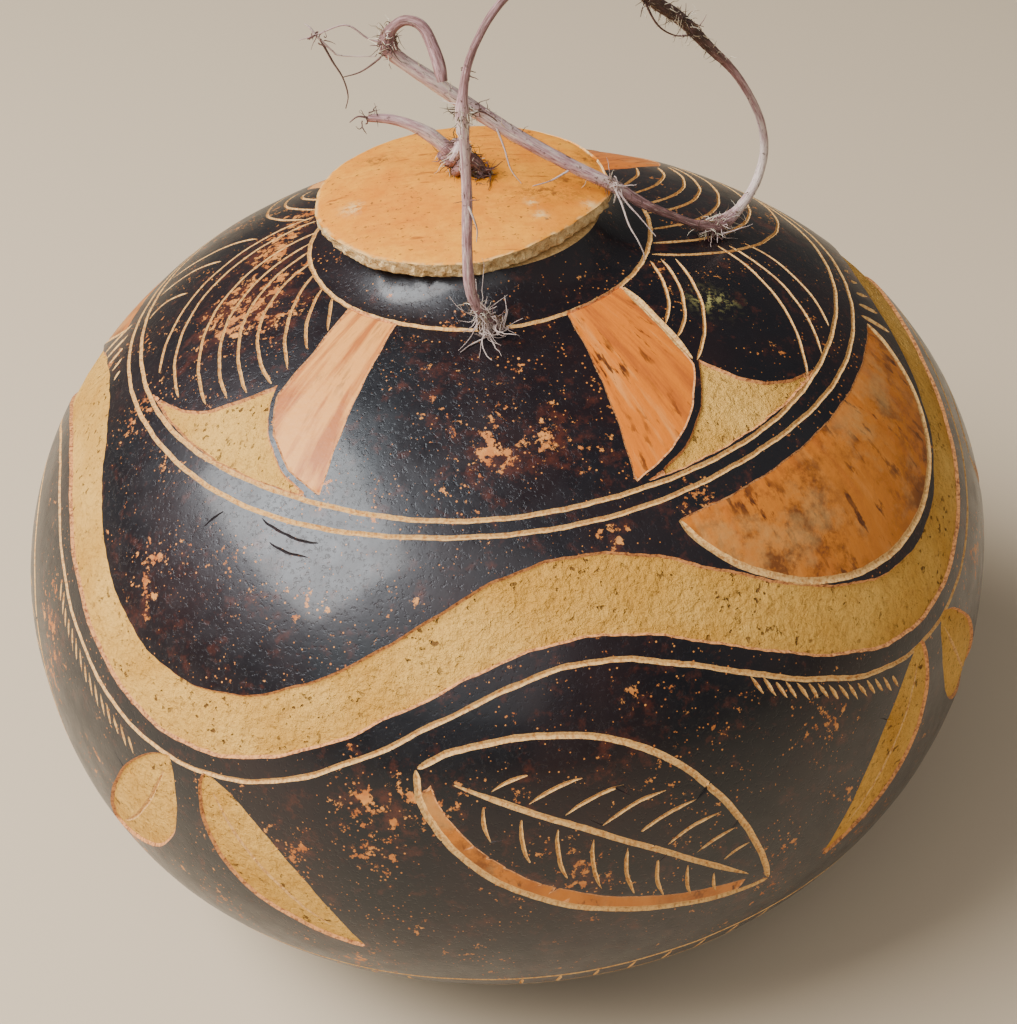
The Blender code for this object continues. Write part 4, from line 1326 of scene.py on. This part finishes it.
LOOP_TANGLES = (
    ((-0.0032, -0.0394, 0.1742), (-0.50, -0.80, -0.15), 46, 0.0120, 0.02),
    ((-0.0050, -0.0406, 0.1776), (0.20, -0.30, -0.80), 14, 0.0065, 0.02),
    ((-0.0026, -0.0385, 0.1730), (0.60, -0.40, 0.20), 12, 0.0060, 0.60),
    ((-0.0073, -0.0424, 0.2232), (-0.20, -0.30, -0.70), 10, 0.0050, 0.02),
    ((-0.0058, -0.0060, 0.2068), (0.10, -0.50, 0.10), 12, 0.0055, 0.85),
    ((0.0503, 0.0030, 0.1722), (0.10, -0.70, 0.10), 22, 0.0080, 0.05),
    ((0.0490, 0.0026, 0.1726), (-0.20, -0.60, -0.10), 16, 0.0070, 0.80),
    ((-0.0238, -0.0054, 0.2222), (-0.50, -0.20, 0.00), 16, 0.0060, 0.85),
    ((-0.0236, -0.0054, 0.2232), (-0.30, -0.20, 0.30), 10, 0.0050, 0.05),
    ((-0.0389, -0.0042, 0.2240), (-0.20, 0.00, 0.00), 10, 0.0040, 0.70),
    ((0.0232, -0.0166, 0.2420), (-0.40, -0.30, -0.30), 9, 0.0070, 0.95),
    ((0.0310, -0.0099, 0.2336), (-0.30, -0.30, 0.40), 9, 0.0060, 0.95),
    ((0.0392, -0.0030, 0.2254), (0.30, -0.30, 0.50), 9, 0.0060, 0.90),
    ((0.0430, 0.0000, 0.2210), (-0.50, -0.30, -0.30), 6, 0.0050, 0.60),
    ((0.0252, -0.0052, 0.1886), (0.20, -0.50, -0.20), 8, 0.0070, 0.05),
    ((-0.0070, -0.0422, 0.2060), (0.50, -0.20, 0.30), 4, 0.0040, 0.70),
    ((-0.0066, -0.0416, 0.2310), (0.60, -0.20, -0.10), 6, 0.0040, 0.80),
)
TIE_TANGLES = (
    ((-0.0112, 0.0022, 0.1912), (-0.20, -0.60, 0.10), 16, 0.0038, 0.55),
    ((-0.0090, 0.0020, 0.1926), (0.10, -0.60, 0.30), 12, 0.0036, 0.10),
    ((-0.0042, 0.0012, 0.1880), (0.25, -0.80, -0.20), 22, 0.0085, 0.95),
    ((-0.0038, 0.0012, 0.1885), (0.60, 0.10, 0.10), 12, 0.0050, 0.80),
    ((-0.0295, 0.0045, 0.2007), (-0.40, -0.10, 0.00), 7, 0.0042, 0.85),
)


def all_tangles(places, seed):
    """The roots of every tangle in a list."""
    return [route for number, place in enumerate(places) for route in tangle(*place, seed + number)]


roots = {
    "roots_of_loop": [rooted(*pair) for pair in zip(LONG_ROOTS, BROWNNESS)] + all_tangles(LOOP_TANGLES, 40),
    "roots_of_tie": all_tangles(TIE_TANGLES, 80),
}
tufts = [stems.grow(line_mesh(name + "_lines", routes, ROOT_STEP), name,
                    Finish=bark, Sides=5, Relief=0.0002, Lumps=0.0008) for name, routes in roots.items()]
pale_root = root_finish("pale_root", (0.62, 0.52, 0.36), (0.80, 0.74, 0.62))
dark_root = root_finish("dark_root", (0.045, 0.025, 0.015), (0.20, 0.12, 0.06))
hairs = hair_growth()
for name, carrier, finish, density, longest, seed in (
        ("pale_roots_loop", handle, pale_root, 500000.0, 0.0045, 3),
        ("dark_roots_loop", handle, dark_root, 700000.0, 0.0035, 8),
        ("pale_roots_tie", tie, pale_root, 250000.0, 0.003, 5),
        ("dark_roots_tie", tie, dark_root, 500000.0, 0.004, 6)):
    tufts.append(hairs.grow(carrier.data.copy(), name,
                            Finish=finish, Density=density, Longest=longest, Seed=seed))
for tuft in tufts:
    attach(tuft, "root")

# Floor and light: a plain pale floor, one broad lamp from the upper left that makes the
# sheen on the shoulder, a wide soft one in front, and a weak fill from the other side.
floor_mesh = bpy.data.meshes.new("floor")
floor_mesh.from_pydata([(-3, -3, 0), (3, -3, 0), (3, 3, 0), (-3, 3, 0)], [], [(0, 1, 2, 3)])
floor = add_piece("floor", floor_mesh)
floor_finish = Finish("floor", 0.7)
floor_finish.shader["Base Color"].default_value = (0.66, 0.54, 0.39, 1)
floor_mesh.materials.append(floor_finish.made)


def lamp(name, place, target, size, power, colour):
    """A soft lamp of a width and height that shines on a point."""
    light = bpy.data.lights.new(name, "AREA")
    light.shape = "RECTANGLE"
    light.size, light.size_y = size
    light.energy = power
    light.color = colour
    made = bpy.data.objects.new(name, light)
    made.matrix_world = (Matrix.Translation(place)
                         @ (Vector(place) - Vector(target)).to_track_quat("Z", "Y").to_matrix().to_4x4())
    bpy.context.scene.collection.objects.link(made)


lamp("key", (-0.97, -0.25, 1.25), (0, 0, 0.08), (1.25, 0.75), 50.0, (1.0, 0.98, 0.95))
lamp("front", (-0.35, -1.15, 1.10), (0, 0, 0.08), (1.4, 1.4), 9.0, (1.0, 0.97, 0.93))
lamp("fill", (1.1, -0.3, 0.9), (0, 0, 0.08), (1.6, 1.6), 2.0, (1.0, 0.94, 0.86))
world = bpy.data.worlds.new("room")
bpy.context.scene.world = world
world.use_nodes = True
background = world.node_tree.nodes["Background"].inputs
background[0].default_value, background[1].default_value = (1.0, 0.95, 0.89, 1), 0.16
